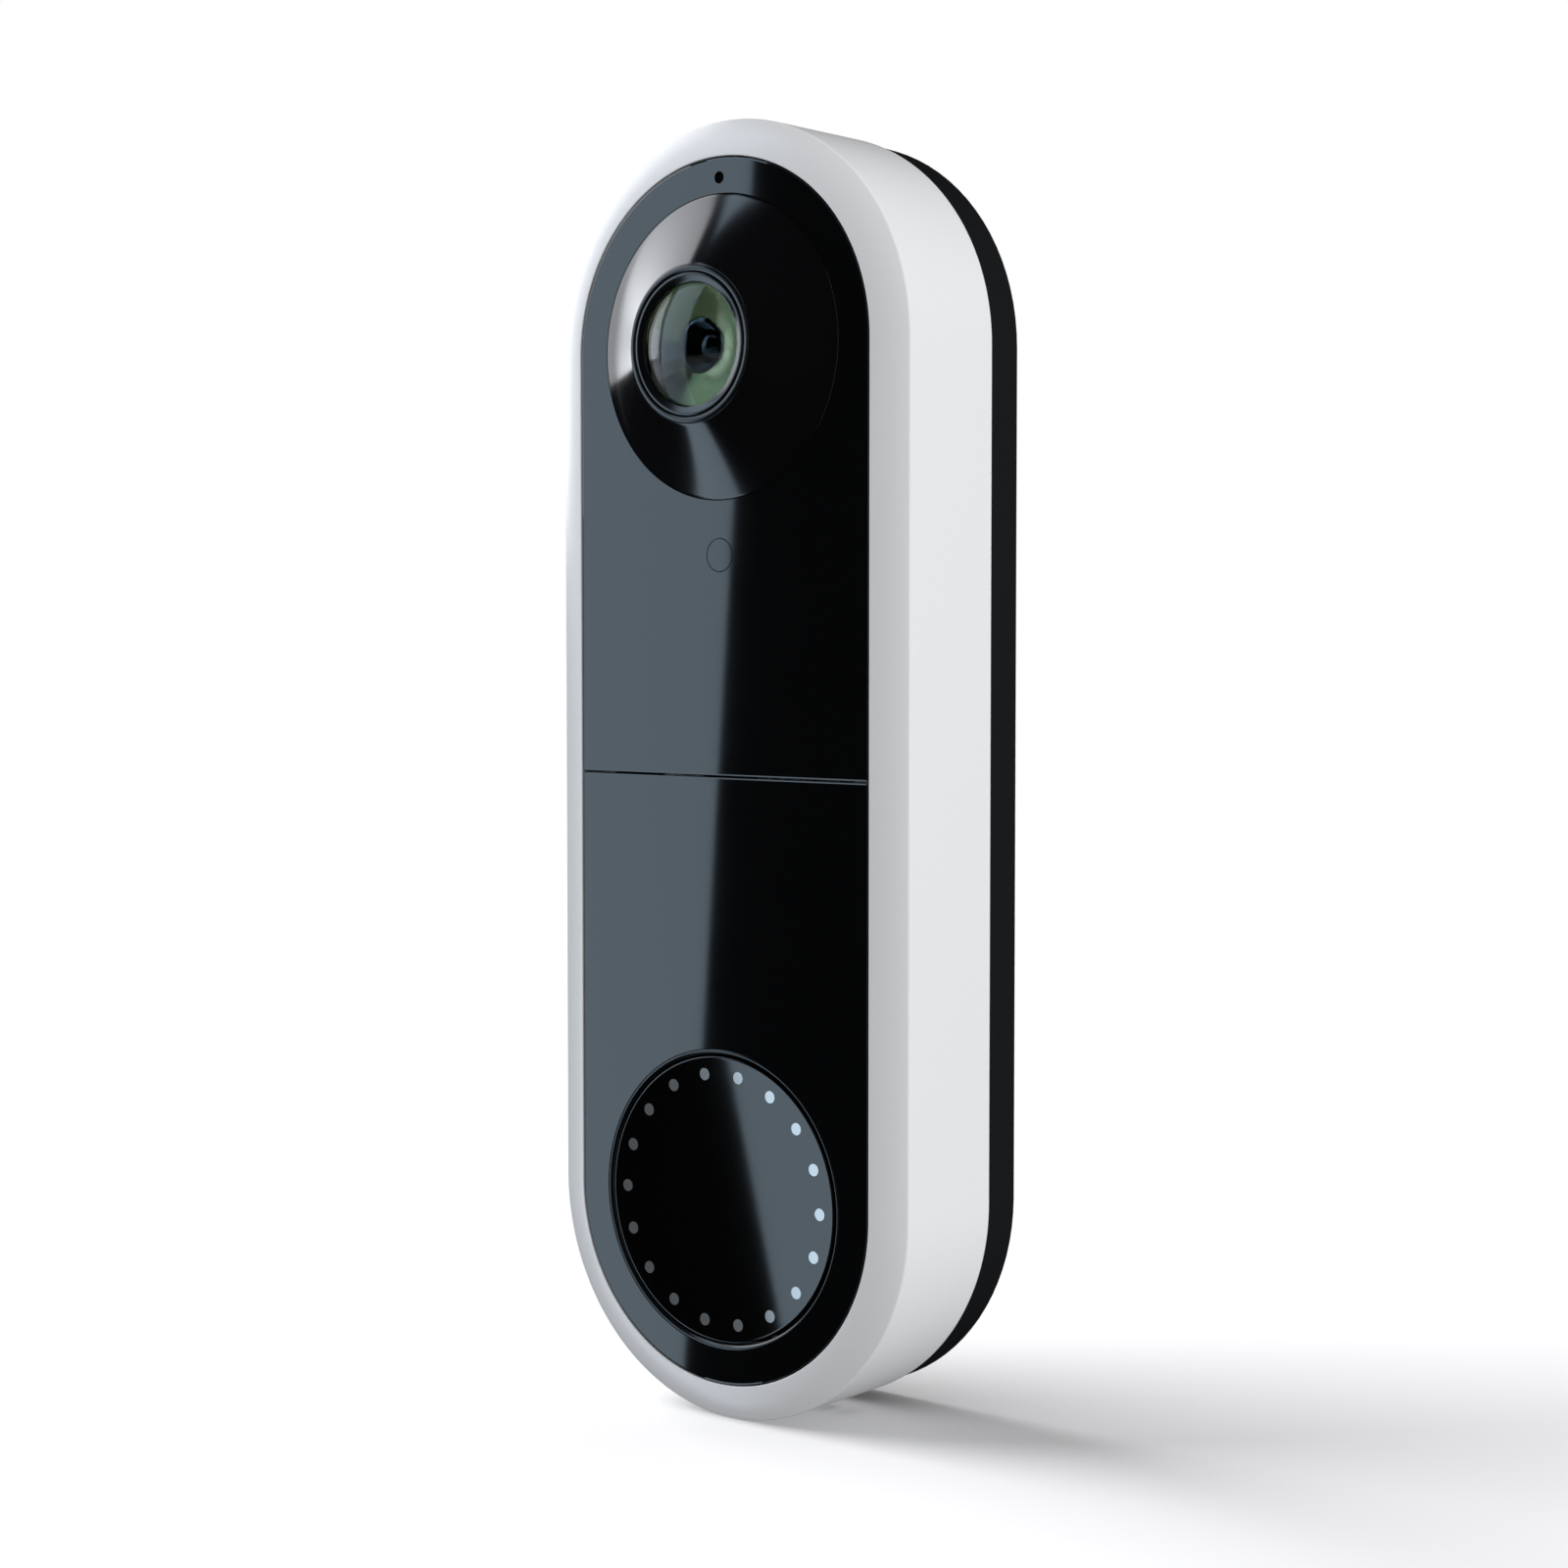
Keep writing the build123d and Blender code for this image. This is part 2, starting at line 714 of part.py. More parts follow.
winding_radius = 1.5
winding_bore = 0.6
winding_length = 8.0
winding_space = 0.1
coil_z = camera_z + holder_height / 2 + winding_radius + winding_space
with BuildPart() as filter_coil:
    with BuildSketch(Plane.YZ):
        with Locations((-(filter_back + filter_thickness / 2), coil_z)):
            Circle(winding_radius)
            Circle(winding_bore, mode=Mode.SUBTRACT)
    extrude(amount=winding_length / 2, both=True)
finish(filter_coil.part, "filter_coil")

sensor_border = 0.8
sensor_recess = 0.15
with BuildPart() as image_sensor:
    with BuildSketch(Plane.XZ.offset(holder_back)):
        with Locations((0, camera_z)):
            Rectangle(sensor_width, sensor_height)
    extrude(amount=sensor_thickness)
    with BuildSketch(Plane.XZ.offset(holder_back + sensor_thickness)):
        with Locations((0, camera_z)):
            Rectangle(sensor_width - 2 * sensor_border, sensor_height - 2 * sensor_border)
    extrude(amount=-sensor_recess, mode=Mode.SUBTRACT)
finish(image_sensor.part, "image_sensor")

with BuildPart() as camera_board:
    with BuildSketch(Plane.XZ.offset(camera_board_depth)):
        with Locations((0, arc_z)):
            Circle(board_radius)
        with Locations((0, camera_board_bottom)):
            Rectangle(board_width, arc_z - camera_board_bottom, align=(Align.CENTER, Align.MIN))
            Rectangle(width, height, align=(Align.CENTER, Align.MIN), mode=Mode.INTERSECT)
        with Locations(*camera_boss_places, *holder_screw_places):
            Circle(board_hole_radius, mode=Mode.SUBTRACT)
    extrude(amount=board_thickness)
finish(camera_board.part, "camera_board")

holder_screw_head = 0.8
holder_head_radius = 1.4
holder_screw_grip = 3.0
with BuildPart() as holder_screws:
    with BuildSketch(Plane.XZ.offset(camera_board_depth - holder_screw_head)):
        with Locations(*holder_screw_places):
            Circle(holder_head_radius)
    extrude(amount=holder_screw_head)
    with BuildSketch(Plane.XZ.offset(camera_board_depth)):
        with Locations(*holder_screw_places):
            Circle(board_screw_radius - slide_fit)
    extrude(amount=board_thickness + holder_screw_grip)
finish(holder_screws.part, "holder_screws")

# ======== night light, light sensor and microphone ========
infrared_space = 0.3          # between the infrared board and the cone
shield_space = 0.15           # between the infrared board and the light shield
infrared_outer = cone_inner_radius - infrared_space
infrared_inner = shield_outer + shield_space
with BuildPart() as infrared_board:
    with BuildSketch(Plane.XZ.offset(infrared_board_back)):
        with Locations((0, camera_z)):
            Circle(infrared_outer)
            Circle(infrared_inner, mode=Mode.SUBTRACT)
    extrude(amount=infrared_board_thickness)
finish(infrared_board.part, "infrared_board")

led_count = 6
led_size = 2.6
led_base = 0.5
led_lens_radius = 0.9
led_lens_height = 0.25
led_circle = (infrared_inner + infrared_outer) / 2
led_back = infrared_board_back + infrared_board_thickness
with BuildPart() as infrared_leds:
    with BuildSketch(Plane.XZ.offset(led_back)):
        with Locations((0, camera_z)):
            with PolarLocations(led_circle, led_count, start_angle=30):
                Rectangle(led_size, led_size)
    extrude(amount=led_base)
    with BuildSketch(Plane.XZ.offset(led_back + led_base)):
        with Locations((0, camera_z)):
            with PolarLocations(led_circle, led_count, start_angle=30):
                Circle(led_lens_radius)
    extrude(amount=led_lens_height)
finish(infrared_leds.part, "infrared_leds")

light_sensor_height = 0.8
light_sensor_size = 2.0
light_sensor_back = camera_board_depth + board_thickness
light_sensor_front = light_sensor_back + light_sensor_height
with BuildPart() as light_sensor:
    with BuildSketch(Plane.XZ.offset(light_sensor_back)):
        with Locations((0, light_pipe_z)):
            Rectangle(light_sensor_size, light_sensor_size)
    extrude(amount=light_sensor_height)
finish(light_sensor.part, "light_sensor")

pipe_step = 0.6
pipe_head_back = deck_back - pipe_step
with BuildPart() as light_pipe:
    with BuildSketch(Plane.XZ.offset(pipe_head_back)):
        with Locations((0, light_pipe_z)):
            Circle(light_pipe_radius)
    extrude(amount=panel_depth - pipe_head_back)
    with BuildSketch(Plane.XZ.offset(light_sensor_front + loose_fit)):
        with Locations((0, light_pipe_z)):
            Circle(light_pipe_radius - pipe_step)
    extrude(amount=pipe_head_back - light_sensor_front - loose_fit)
finish(light_pipe.part, "light_pipe")

boot_thickness = 0.8
boot_radius = 2.2
boot_back = deck_back - boot_thickness
with BuildPart() as microphone_boot:
    with BuildSketch(Plane.XZ.offset(boot_back)):
        with Locations((0, microphone_z)):
            Circle(boot_radius)
            Circle(microphone_radius, mode=Mode.SUBTRACT)
    extrude(amount=boot_thickness)
finish(microphone_boot.part, "microphone_boot")

microphone_board_width = 6.0
microphone_board_height = 4.4
microphone_board_thickness = 0.6
microphone_board_drop = 0.6
microphone_can_width = 3.8
microphone_can_height = 3.0
microphone_can_depth = 1.0
microphone_can_drop = 0.4
port_radius = 0.3
port_depth = 1.0
microphone_board_back = boot_back - microphone_board_thickness
with BuildPart() as microphone:
    with BuildSketch(Plane.XZ.offset(microphone_board_back)):
        with Locations((0, microphone_z - microphone_board_drop)):
            Rectangle(microphone_board_width, microphone_board_height)
    extrude(amount=microphone_board_thickness)
    with BuildSketch(Plane.XZ.offset(microphone_board_back)):
        with Locations((0, microphone_z - microphone_can_drop)):
            Rectangle(microphone_can_width, microphone_can_height)
    extrude(amount=-microphone_can_depth)
    with BuildSketch(Plane.XZ.offset(boot_back)):
        with Locations((0, microphone_z)):
            Circle(port_radius)
    extrude(amount=-port_depth, mode=Mode.SUBTRACT)
finish(microphone.part, "microphone")

# ======== call button ========
trim_ring_sink = 0.02         # the ring's front lies just behind the panel's face
trim_ring_bevel = 0.12
trim_ring_slope = 0.2
trim_ring_front = panel_depth - trim_ring_sink
trim_ring_inner = trim_ring_radius - trim_ring_width
with BuildPart() as button_trim_ring:
    turned(button_z, [
        (deck_front, trim_ring_inner),
        (deck_front, trim_ring_radius),
        (trim_ring_front - trim_ring_bevel, trim_ring_radius),
        (trim_ring_front, trim_ring_radius - trim_ring_bevel),
        (trim_ring_front, trim_ring_radius - trim_ring_width / 2),
        (trim_ring_front - trim_ring_slope, trim_ring_inner),
    ])
finish(button_trim_ring.part, "button_trim_ring")

rounding = 0.18
flange_gap = 0.05             # between the cap's flange and the deck
flange_front = deck_back - flange_gap
dish_sphere = (button_radius ** 2 + button_dish ** 2) / (2 * button_dish)
with BuildPart() as call_button_cap:
    with BuildSketch(profile_at(button_z)):
        with BuildLine():
            Polyline(
                (plunger_front, 0),
                (plunger_front, stem_radius),
                (cap_back, stem_radius),
                (cap_back, button_radius - skirt_wall),
                (skirt_back, button_radius - skirt_wall),
                (skirt_back, flange_radius),
                (flange_front, flange_radius),
                (flange_front, button_radius),
                (cap_front - rounding, button_radius),
                (cap_front, button_radius - rounding),
            )
            RadiusArc((cap_front, button_radius - rounding), (cap_front - button_dish, 0), dish_sphere)
            Line((cap_front - button_dish, 0), (plunger_front, 0))
        make_face()
    revolve(axis=axis_at(button_z))
    with BuildSketch(Plane.XZ.offset(cap_back)):
        with Locations((0, button_z)):
            with PolarLocations(pip_circle, pip_count):
                Circle(pip_radius + seated_fit)
    extrude(amount=button_wall, mode=Mode.SUBTRACT)
finish(call_button_cap.part, "call_button_cap")

pip_sink = 0.1                # the pips' faces lie this far behind the cap's edge
guide_margin = 0.8            # guide ring inside its pips
pip_front = cap_front - pip_sink
with BuildPart() as light_guide_ring:
    with BuildSketch(Plane.XZ.offset(cap_back - guide_thickness)):
        with Locations((0, button_z)):
            Circle(button_radius - skirt_wall - slide_fit)
            Circle(pip_circle - pip_radius - guide_margin, mode=Mode.SUBTRACT)
    extrude(amount=guide_thickness)
    with BuildSketch(Plane.XZ.offset(cap_back)):
        with Locations((0, button_z)):
            with PolarLocations(pip_circle, pip_count):
                Circle(pip_radius)
    extrude(amount=pip_front - cap_back)
finish(light_guide_ring.part, "light_guide_ring")

seal_web_space = 0.1
seal_web = 0.35
seal_web_back = switch_front + seal_web_space
with BuildPart() as button_seal:
    turned(button_z, [
        (seal_web_back, stem_radius + loose_fit),
        (seal_web_back, seal_outer),
        (deck_back, seal_outer),
        (deck_back, seal_inner),
        (seal_web_back + seal_web, seal_inner),
        (seal_web_back + seal_web, stem_radius + loose_fit),
    ])
finish(button_seal.part, "button_seal")

switch_size = 6.0
switch_corner = 0.4
plunger_fit = 0.08
plunger_root = 1.2            # plunger inside the switch
plunger_play = 0.02           # between the plunger and the cap's stem
with BuildPart() as switch_body:
    with BuildSketch(Plane.XZ.offset(switch_back)):
        with Locations((0, button_z)):
            Rectangle(switch_size, switch_size)
    extrude(amount=switch_height)
    fillet(edges().filter_by(Axis.Y), switch_corner)
    with BuildSketch(Plane.XZ.offset(switch_front)):
        with Locations((0, button_z)):
            Circle(plunger_radius + plunger_fit)
    extrude(amount=-(plunger_root + button_travel + loose_fit), mode=Mode.SUBTRACT)
finish(switch_body.part, "switch_body")

with BuildPart() as switch_plunger:
    with BuildSketch(Plane.XZ.offset(switch_front - plunger_root)):
        with Locations((0, button_z)):
            Circle(plunger_radius)
    extrude(amount=plunger_root + plunger_stand - plunger_play)
finish(switch_plunger.part, "switch_plunger")

button_led_length = 1.6
button_led_width = 1.0
button_led_height = 0.7
with BuildPart() as button_leds:
    with BuildSketch(Plane.XZ.offset(switch_back)):
        with Locations((0, button_z)):
            with PolarLocations(pip_circle, pip_count // 2, start_angle=180 / pip_count):
                Rectangle(button_led_length, button_led_width)
    extrude(amount=button_led_height)
finish(button_leds.part, "button_leds")

with BuildPart() as button_board:
    with BuildSketch(Plane.XZ.offset(button_board_depth)):
        with Locations((0, -arc_z)):
            Circle(board_radius)
            Rectangle(board_width, button_board_top + arc_z, align=(Align.CENTER, Align.MIN))
        with Locations((0, button_board_top)):
            Rectangle(width, height, align=(Align.CENTER, Align.MAX), mode=Mode.INTERSECT)
        with Locations(*button_boss_places):
            Circle(board_hole_radius, mode=Mode.SUBTRACT)
    extrude(amount=board_thickness)
finish(button_board.part, "button_board")

# ======== main board and what it carries ========
board_front = main_board_depth + board_thickness
terminal_z = main_board_z
shield_place = (5.5, main_board_z + 2.0)
shield_size = 15.0
shield_height = 2.0
shield_corner = 0.8
shield_sheet = 0.2
capacitor_places = [(-9.0, main_board_z - 5.0), (-9.0, main_board_z + 3.0)]
capacitor_radius = 3.15
capacitor_height = 5.4
capacitor_rounding = 0.4
inductor_place = (2.0, main_board_z - 11.0)
inductor_size = 7.0
inductor_height = 3.0
inductor_corner = 1.2
with BuildPart() as main_board:
    with BuildSketch(Plane.XZ.offset(main_board_depth)):
        with Locations((0, main_board_z)):
            Rectangle(board_width, main_board_height)
        with Locations(*main_boss_places):
            Circle(board_hole_radius, mode=Mode.SUBTRACT)
    extrude(amount=board_thickness)
finish(main_board.part, "main_board")

with BuildPart() as processor_shield:
    with BuildSketch(Plane.XZ.offset(board_front)):
        with Locations(shield_place):
            Rectangle(shield_size, shield_size)
    extrude(amount=shield_height)
    fillet(edges().filter_by(Axis.Y), shield_corner)
    offset(amount=-shield_sheet, openings=faces().sort_by(Axis.Y)[-1])
finish(processor_shield.part, "processor_shield")

with BuildPart() as capacitors:
    with BuildSketch(Plane.XZ.offset(board_front)):
        with Locations(*capacitor_places):
            Circle(capacitor_radius)
    extrude(amount=capacitor_height)
    fillet(edges().filter_by(GeomType.CIRCLE).group_by(Axis.Y)[0], capacitor_rounding)
finish(capacitors.part, "capacitors")

with BuildPart() as power_inductor:
    with BuildSketch(Plane.XZ.offset(board_front)):
        with Locations(inductor_place):
            Rectangle(inductor_size, inductor_size)
    extrude(amount=inductor_height)
    fillet(edges().filter_by(Axis.Y), inductor_corner)
finish(power_inductor.part, "power_inductor")

connector_length = 9.0
connector_width = 2.4
connector_height = 0.9
main_top_plug = main_board_top - 2.4
main_bottom_plug = main_board_bottom + 2.0
camera_plug = camera_board_bottom + 1.8
button_plug = button_board_top - 2.2
plugs = [
    (board_front, main_top_plug),
    (board_front, main_bottom_plug),
    (camera_board_depth + board_thickness, camera_plug),
    (switch_back, button_plug),
]
with BuildPart() as board_connectors:
    for plug_depth, plug_z in plugs:
        with BuildSketch(Plane.XZ.offset(plug_depth)):
            with Locations((0, plug_z)):
                Rectangle(connector_length, connector_width)
        extrude(amount=connector_height)
finish(board_connectors.part, "board_connectors")


ribbon_thickness = 0.2
ribbon_width = 7.0
ribbon_lift = 0.6
ribbon_bend = 0.4
plug_top = connector_height + ribbon_thickness / 2


def ribbon(start, end):
    """Flat cable between two (depth, height) points, with a level bridge raised in the middle."""
    bridge = max(start[0], end[0]) + ribbon_lift
    with BuildSketch(profile_at(0)) as outline:
        with BuildLine():
            step = (end[1] - start[1]) / 4
            FilletPolyline(start, (bridge, start[1] + step), (bridge, end[1] - step), end, radius=ribbon_bend)
        trace(line_width=ribbon_thickness)
    extrude(outline.sketch, amount=ribbon_width / 2, both=True)


with BuildPart() as camera_flex:
    ribbon(
        (board_front + plug_top, main_top_plug),
        (camera_board_depth + board_thickness + plug_top, camera_plug),
    )
finish(camera_flex.part, "camera_flex")

with BuildPart() as button_flex:
    ribbon(
        (board_front + plug_top, main_bottom_plug),
        (switch_back + plug_top, button_plug),
    )
finish(button_flex.part, "button_flex")

antenna_x = 2.0
antenna_z = main_board_z + 12.6
antenna_length = 12.0
antenna_width = 3.6
antenna_stand = 2.4
antenna_sheet = 0.25
antenna_leg_width = 2.0
antenna_legs = [(-3.6, antenna_z), (-0.6, antenna_z)]
with BuildPart() as wifi_antenna:
    with BuildSketch(Plane.XZ.offset(board_front + antenna_stand)):
        with Locations((antenna_x, antenna_z)):
            Rectangle(antenna_length, antenna_width)
    extrude(amount=antenna_sheet)
    with BuildSketch(Plane.XZ.offset(board_front)):
        with Locations(*antenna_legs):
            Rectangle(antenna_sheet, antenna_leg_width)
    extrude(amount=antenna_stand)
finish(wifi_antenna.part, "wifi_antenna")

# ======== speaker ========
magnet_radius = 6.2
magnet_depth = 1.5
coil_radius = 4.6
groove_half = 0.5             # half width of the magnet's groove
frame_wall = 1.2
frame_floor = 0.5
cone_edge_gap = 0.3           # between the cone and the frame
cone_skin = 0.15
cone_edge_rise = 0.35
cone_fall = 0.35
cap_rise = 0.05
coil_end = 0.85               # voice coil's end to the speaker's back
gasket_inset = 0.1
frame_inner = speaker_radius - frame_wall
groove_floor = speaker_back - frame_floor
magnet_front = speaker_back - magnet_depth
cone_edge_depth = speaker_front + cone_edge_rise
cone_neck_depth = cone_edge_depth + cone_fall
with BuildPart() as speaker_frame:
    turned(speaker_z, [
        (speaker_front, frame_inner),
        (speaker_front, speaker_radius),
        (speaker_back, speaker_radius),
        (speaker_back, magnet_radius),
        (groove_floor, magnet_radius),
        (groove_floor - frame_floor, frame_inner),
    ])
finish(speaker_frame.part, "speaker_frame")

with BuildPart() as speaker_magnet:
    turned(speaker_z, [
        (speaker_back, 0),
        (speaker_back, magnet_radius),
        (magnet_front, magnet_radius),
        (magnet_front, coil_radius + groove_half),
        (groove_floor, coil_radius + groove_half),
        (groove_floor, coil_radius - groove_half),
        (magnet_front, coil_radius - groove_half),
        (magnet_front, 0),
    ])
finish(speaker_magnet.part, "speaker_magnet")

with BuildPart() as speaker_cone:
    turned(speaker_z, [
        (cone_edge_depth, frame_inner - cone_edge_gap),
        (cone_edge_depth + cone_skin, frame_inner - cone_edge_gap),
        (cone_neck_depth + cone_skin, coil_radius + cone_skin),
        (speaker_back - coil_end, coil_radius + cone_skin),
        (speaker_back - coil_end, coil_radius - cone_skin),
        (cone_neck_depth + cone_skin, coil_radius - cone_skin),
        (cone_edge_depth + cap_rise + cone_skin, 0),
        (cone_edge_depth + cap_rise, 0),
        (cone_neck_depth, coil_radius),
    ])
finish(speaker_cone.part, "speaker_cone")

gasket_outer = speaker_radius - gasket_inset
gasket_inner = frame_inner + gasket_inset
with BuildPart() as speaker_gasket:
    turned(speaker_z, [
        (cover_front, gasket_inner),
        (cover_front, gasket_outer),
        (speaker_front, gasket_outer),
        (speaker_front, gasket_inner),
    ])
    with BuildSketch(Plane.XZ.offset(cover_front)):
        with Locations((0, speaker_z)):
            Rectangle(speaker_radius, 2 * speaker_radius, align=(Align.CENTER, Align.MAX))
    extrude(amount=gasket_thickness, mode=Mode.SUBTRACT)
finish(speaker_gasket.part, "speaker_gasket")

mesh_angle = 30
mesh_thickness = 0.15
mesh_gap = 0.02               # adhesive film between the mesh and the wall
mesh_margin = 0.2
mesh_radius = cavity_radius - mesh_gap
with BuildPart() as speaker_mesh:
    with BuildSketch(Plane.XZ.offset(outlet_back - mesh_margin)):
        with BuildLine():
            outer = CenterArc((0, -arc_z), mesh_radius, -90 - mesh_angle, 2 * mesh_angle)
            inner = CenterArc((0, -arc_z), mesh_radius - mesh_thickness, -90 - mesh_angle, 2 * mesh_angle)
            Line(outer @ 0, inner @ 0)
            Line(outer @ 1, inner @ 1)
        make_face()
    extrude(amount=outlet_height + 2 * mesh_margin)
finish(speaker_mesh.part, "speaker_mesh")

# ======== back cover, gasket and terminals ========
terminal_places = [(-terminal_x, terminal_z), (terminal_x, terminal_z)]
rail_x = latch_width / 2 + latch_clearance
rail_shift = 0.6
rail_z = latch_bottom + latch_height / 2 + rail_shift
rail_middle = rail_x + rail_width / 2
stop_width = 4.0
stop_bottom = latch_top + spring_length
tab_bottom = plate_inner_z - tab_root
cover_hole_gap = 0.15
post_gap = 0.02

with BuildPart() as back_cover:
    with BuildSketch(Plane.XZ.offset(cover_back)):
        stadium(cover_radius)
    extrude(amount=cover_thickness)
    # fixed tab at the top: a neck, then a tongue that reaches up into the plate's wall
    with BuildSketch(Plane.XZ.offset(tongue_back)):
        with Locations((0, tab_bottom)):
            Rectangle(tab_width, tab_neck, align=(Align.CENTER, Align.MIN))
    extrude(amount=cover_back - tongue_back)
    with BuildSketch(Plane.XZ.offset(tongue_back)):
        with Locations((0, tab_bottom)):
            Rectangle(tab_width, tab_root + plate_wall, align=(Align.CENTER, Align.MIN))
        reach_limit(tongue_reach)
    extrude(amount=tongue_front - tongue_back)
    # latch rails with inward lips, and the stop for the latch spring
    for side in (-1, 1):
        with BuildSketch(Plane.XZ.offset(lip_back)):
            with Locations((side * rail_middle, rail_z)):
                Rectangle(rail_width, latch_height)
        extrude(amount=cover_back - lip_back)
        with BuildSketch(Plane.XZ.offset(lip_back)):
            with Locations((side * (rail_middle - rail_lip / 2), rail_z)):
                Rectangle(rail_width + rail_lip, latch_height)
        extrude(amount=lip_front - lip_back)
    with BuildSketch(Plane.XZ.offset(latch_back)):
        with Locations((0, stop_bottom + stop_height / 2)):
            Rectangle(stop_width, stop_height)
    extrude(amount=cover_back - latch_back)
    # holes for the terminal posts, and countersunk holes for the cover screws
    with BuildSketch(Plane.XZ.offset(cover_back)):
        with Locations(*cover_screw_places):
            Circle(screw_radius + cover_hole_gap)
        with Locations(*terminal_places):
            Circle(terminal_post_radius + post_gap)
    extrude(amount=cover_thickness, mode=Mode.SUBTRACT)
    with BuildSketch(Plane.XZ.offset(cover_back)):
        with Locations(*cover_screw_places):
            Circle(cover_head_radius + slide_fit)
    extrude(amount=cover_head_height, taper=45, mode=Mode.SUBTRACT)
finish(back_cover.part, "back_cover")

gasket_inner_radius = cavity_radius + slide_fit
with BuildPart() as back_gasket:
    with BuildSketch(Plane.XZ.offset(cover_front)):
        stadium(cover_radius)
        SlotOverall(
            2 * (arc_z + gasket_inner_radius), 2 * gasket_inner_radius, rotation=90, mode=Mode.SUBTRACT
        )
    extrude(amount=gasket_thickness)
finish(back_gasket.part, "back_gasket")

cross_length = 2.2
cross_width = 0.5
cross_depth = 0.6
with BuildPart() as cover_screws:
    with BuildSketch(Plane.XZ.offset(cover_back)):
        with Locations(*cover_screw_places):
            Circle(cover_head_radius)
    extrude(amount=cover_head_height, taper=45)
    with BuildSketch(Plane.XZ.offset(cover_back)):
        with Locations(*cover_screw_places):
            Circle(screw_radius - slide_fit)
    extrude(amount=cover_thickness + cover_pilot_depth - pilot_end)
    with BuildSketch(Plane.XZ.offset(cover_back)):
        with Locations(*cover_screw_places):
            Rectangle(cross_length, cross_width)
            Rectangle(cross_width, cross_length)
    extrude(amount=cross_depth, mode=Mode.SUBTRACT)
finish(cover_screws.part, "cover_screws")

board_head = 0.9
board_head_radius = 1.5
with BuildPart() as board_screws:
    for boss_back, places in board_bosses:
        head_face = boss_back - board_thickness
        with BuildSketch(Plane.XZ.offset(head_face - board_head)):
            with Locations(*places):
                Circle(board_head_radius)
        extrude(amount=board_head)
        with BuildSketch(Plane.XZ.offset(head_face)):
            with Locations(*places):
                Circle(board_screw_radius - slide_fit)
        extrude(amount=board_thickness + pilot_depth - pilot_end)
finish(board_screws.part, "board_screws")

with BuildPart() as terminal_posts:
    with BuildSketch(Plane.XZ.offset(cover_back)):
        with Locations(*terminal_places):
            Circle(terminal_post_radius)
            Circle(terminal_thread, mode=Mode.SUBTRACT)
    extrude(amount=main_board_depth - cover_back)
finish(terminal_posts.part, "terminal_posts")

terminal_cross_length = 4.4
terminal_cross_width = 0.8
terminal_cross_depth = 0.9
terminal_grip = 3.0
with BuildPart() as terminal_screws:
    with BuildSketch(Plane.XZ.offset(cover_back - terminal_head_height)):
        with Locations(*terminal_places):
            Circle(terminal_head)
    extrude(amount=terminal_head_height)
    with BuildSketch(Plane.XZ.offset(cover_back - terminal_head_height)):
        with Locations(*terminal_places):
            Rectangle(terminal_cross_length, terminal_cross_width)
            Rectangle(terminal_cross_width, terminal_cross_length)
    extrude(amount=terminal_cross_depth, mode=Mode.SUBTRACT)
    with BuildSketch(Plane.XZ.offset(cover_back)):
        with Locations(*terminal_places):
            Circle(terminal_thread - slide_fit)
    extrude(amount=terminal_grip)
finish(terminal_screws.part, "terminal_screws")

# ======== release latch ========
with BuildPart() as release_latch:
    with BuildSketch(Plane.XZ.offset(latch_back)):
        with Locations((0, latch_bottom)):
            Rectangle(latch_width, latch_height, align=(Align.CENTER, Align.MIN))
    extrude(amount=latch_front - latch_back)
    with BuildSketch(Plane.XZ.offset(tongue_back)):
        with Locations((0, latch_bottom)):
            Rectangle(nose_width, latch_bottom + plate_inner_z + plate_wall, align=(Align.CENTER, Align.MAX))
        reach_limit(tongue_reach)
    extrude(amount=tongue_front - tongue_back)
finish(release_latch.part, "release_latch")

spring_play = 0.05            # between the spring's ends and what they press on
coil_height = spring_length - 2 * (spring_wire + spring_play)
spring_base = latch_top + spring_wire + spring_play
with BuildPart() as latch_spring:
    with BuildLine() as coil:
        Helix(
            pitch=coil_height / spring_turns,
            height=coil_height,
            radius=spring_radius,
            center=(0, -spring_depth, spring_base),
        )
    with BuildSketch(Plane(origin=coil.line @ 0, z_dir=coil.line % 0)):
        Circle(spring_wire)
    sweep(path=coil.line, is_frenet=True)
finish(latch_spring.part, "latch_spring")

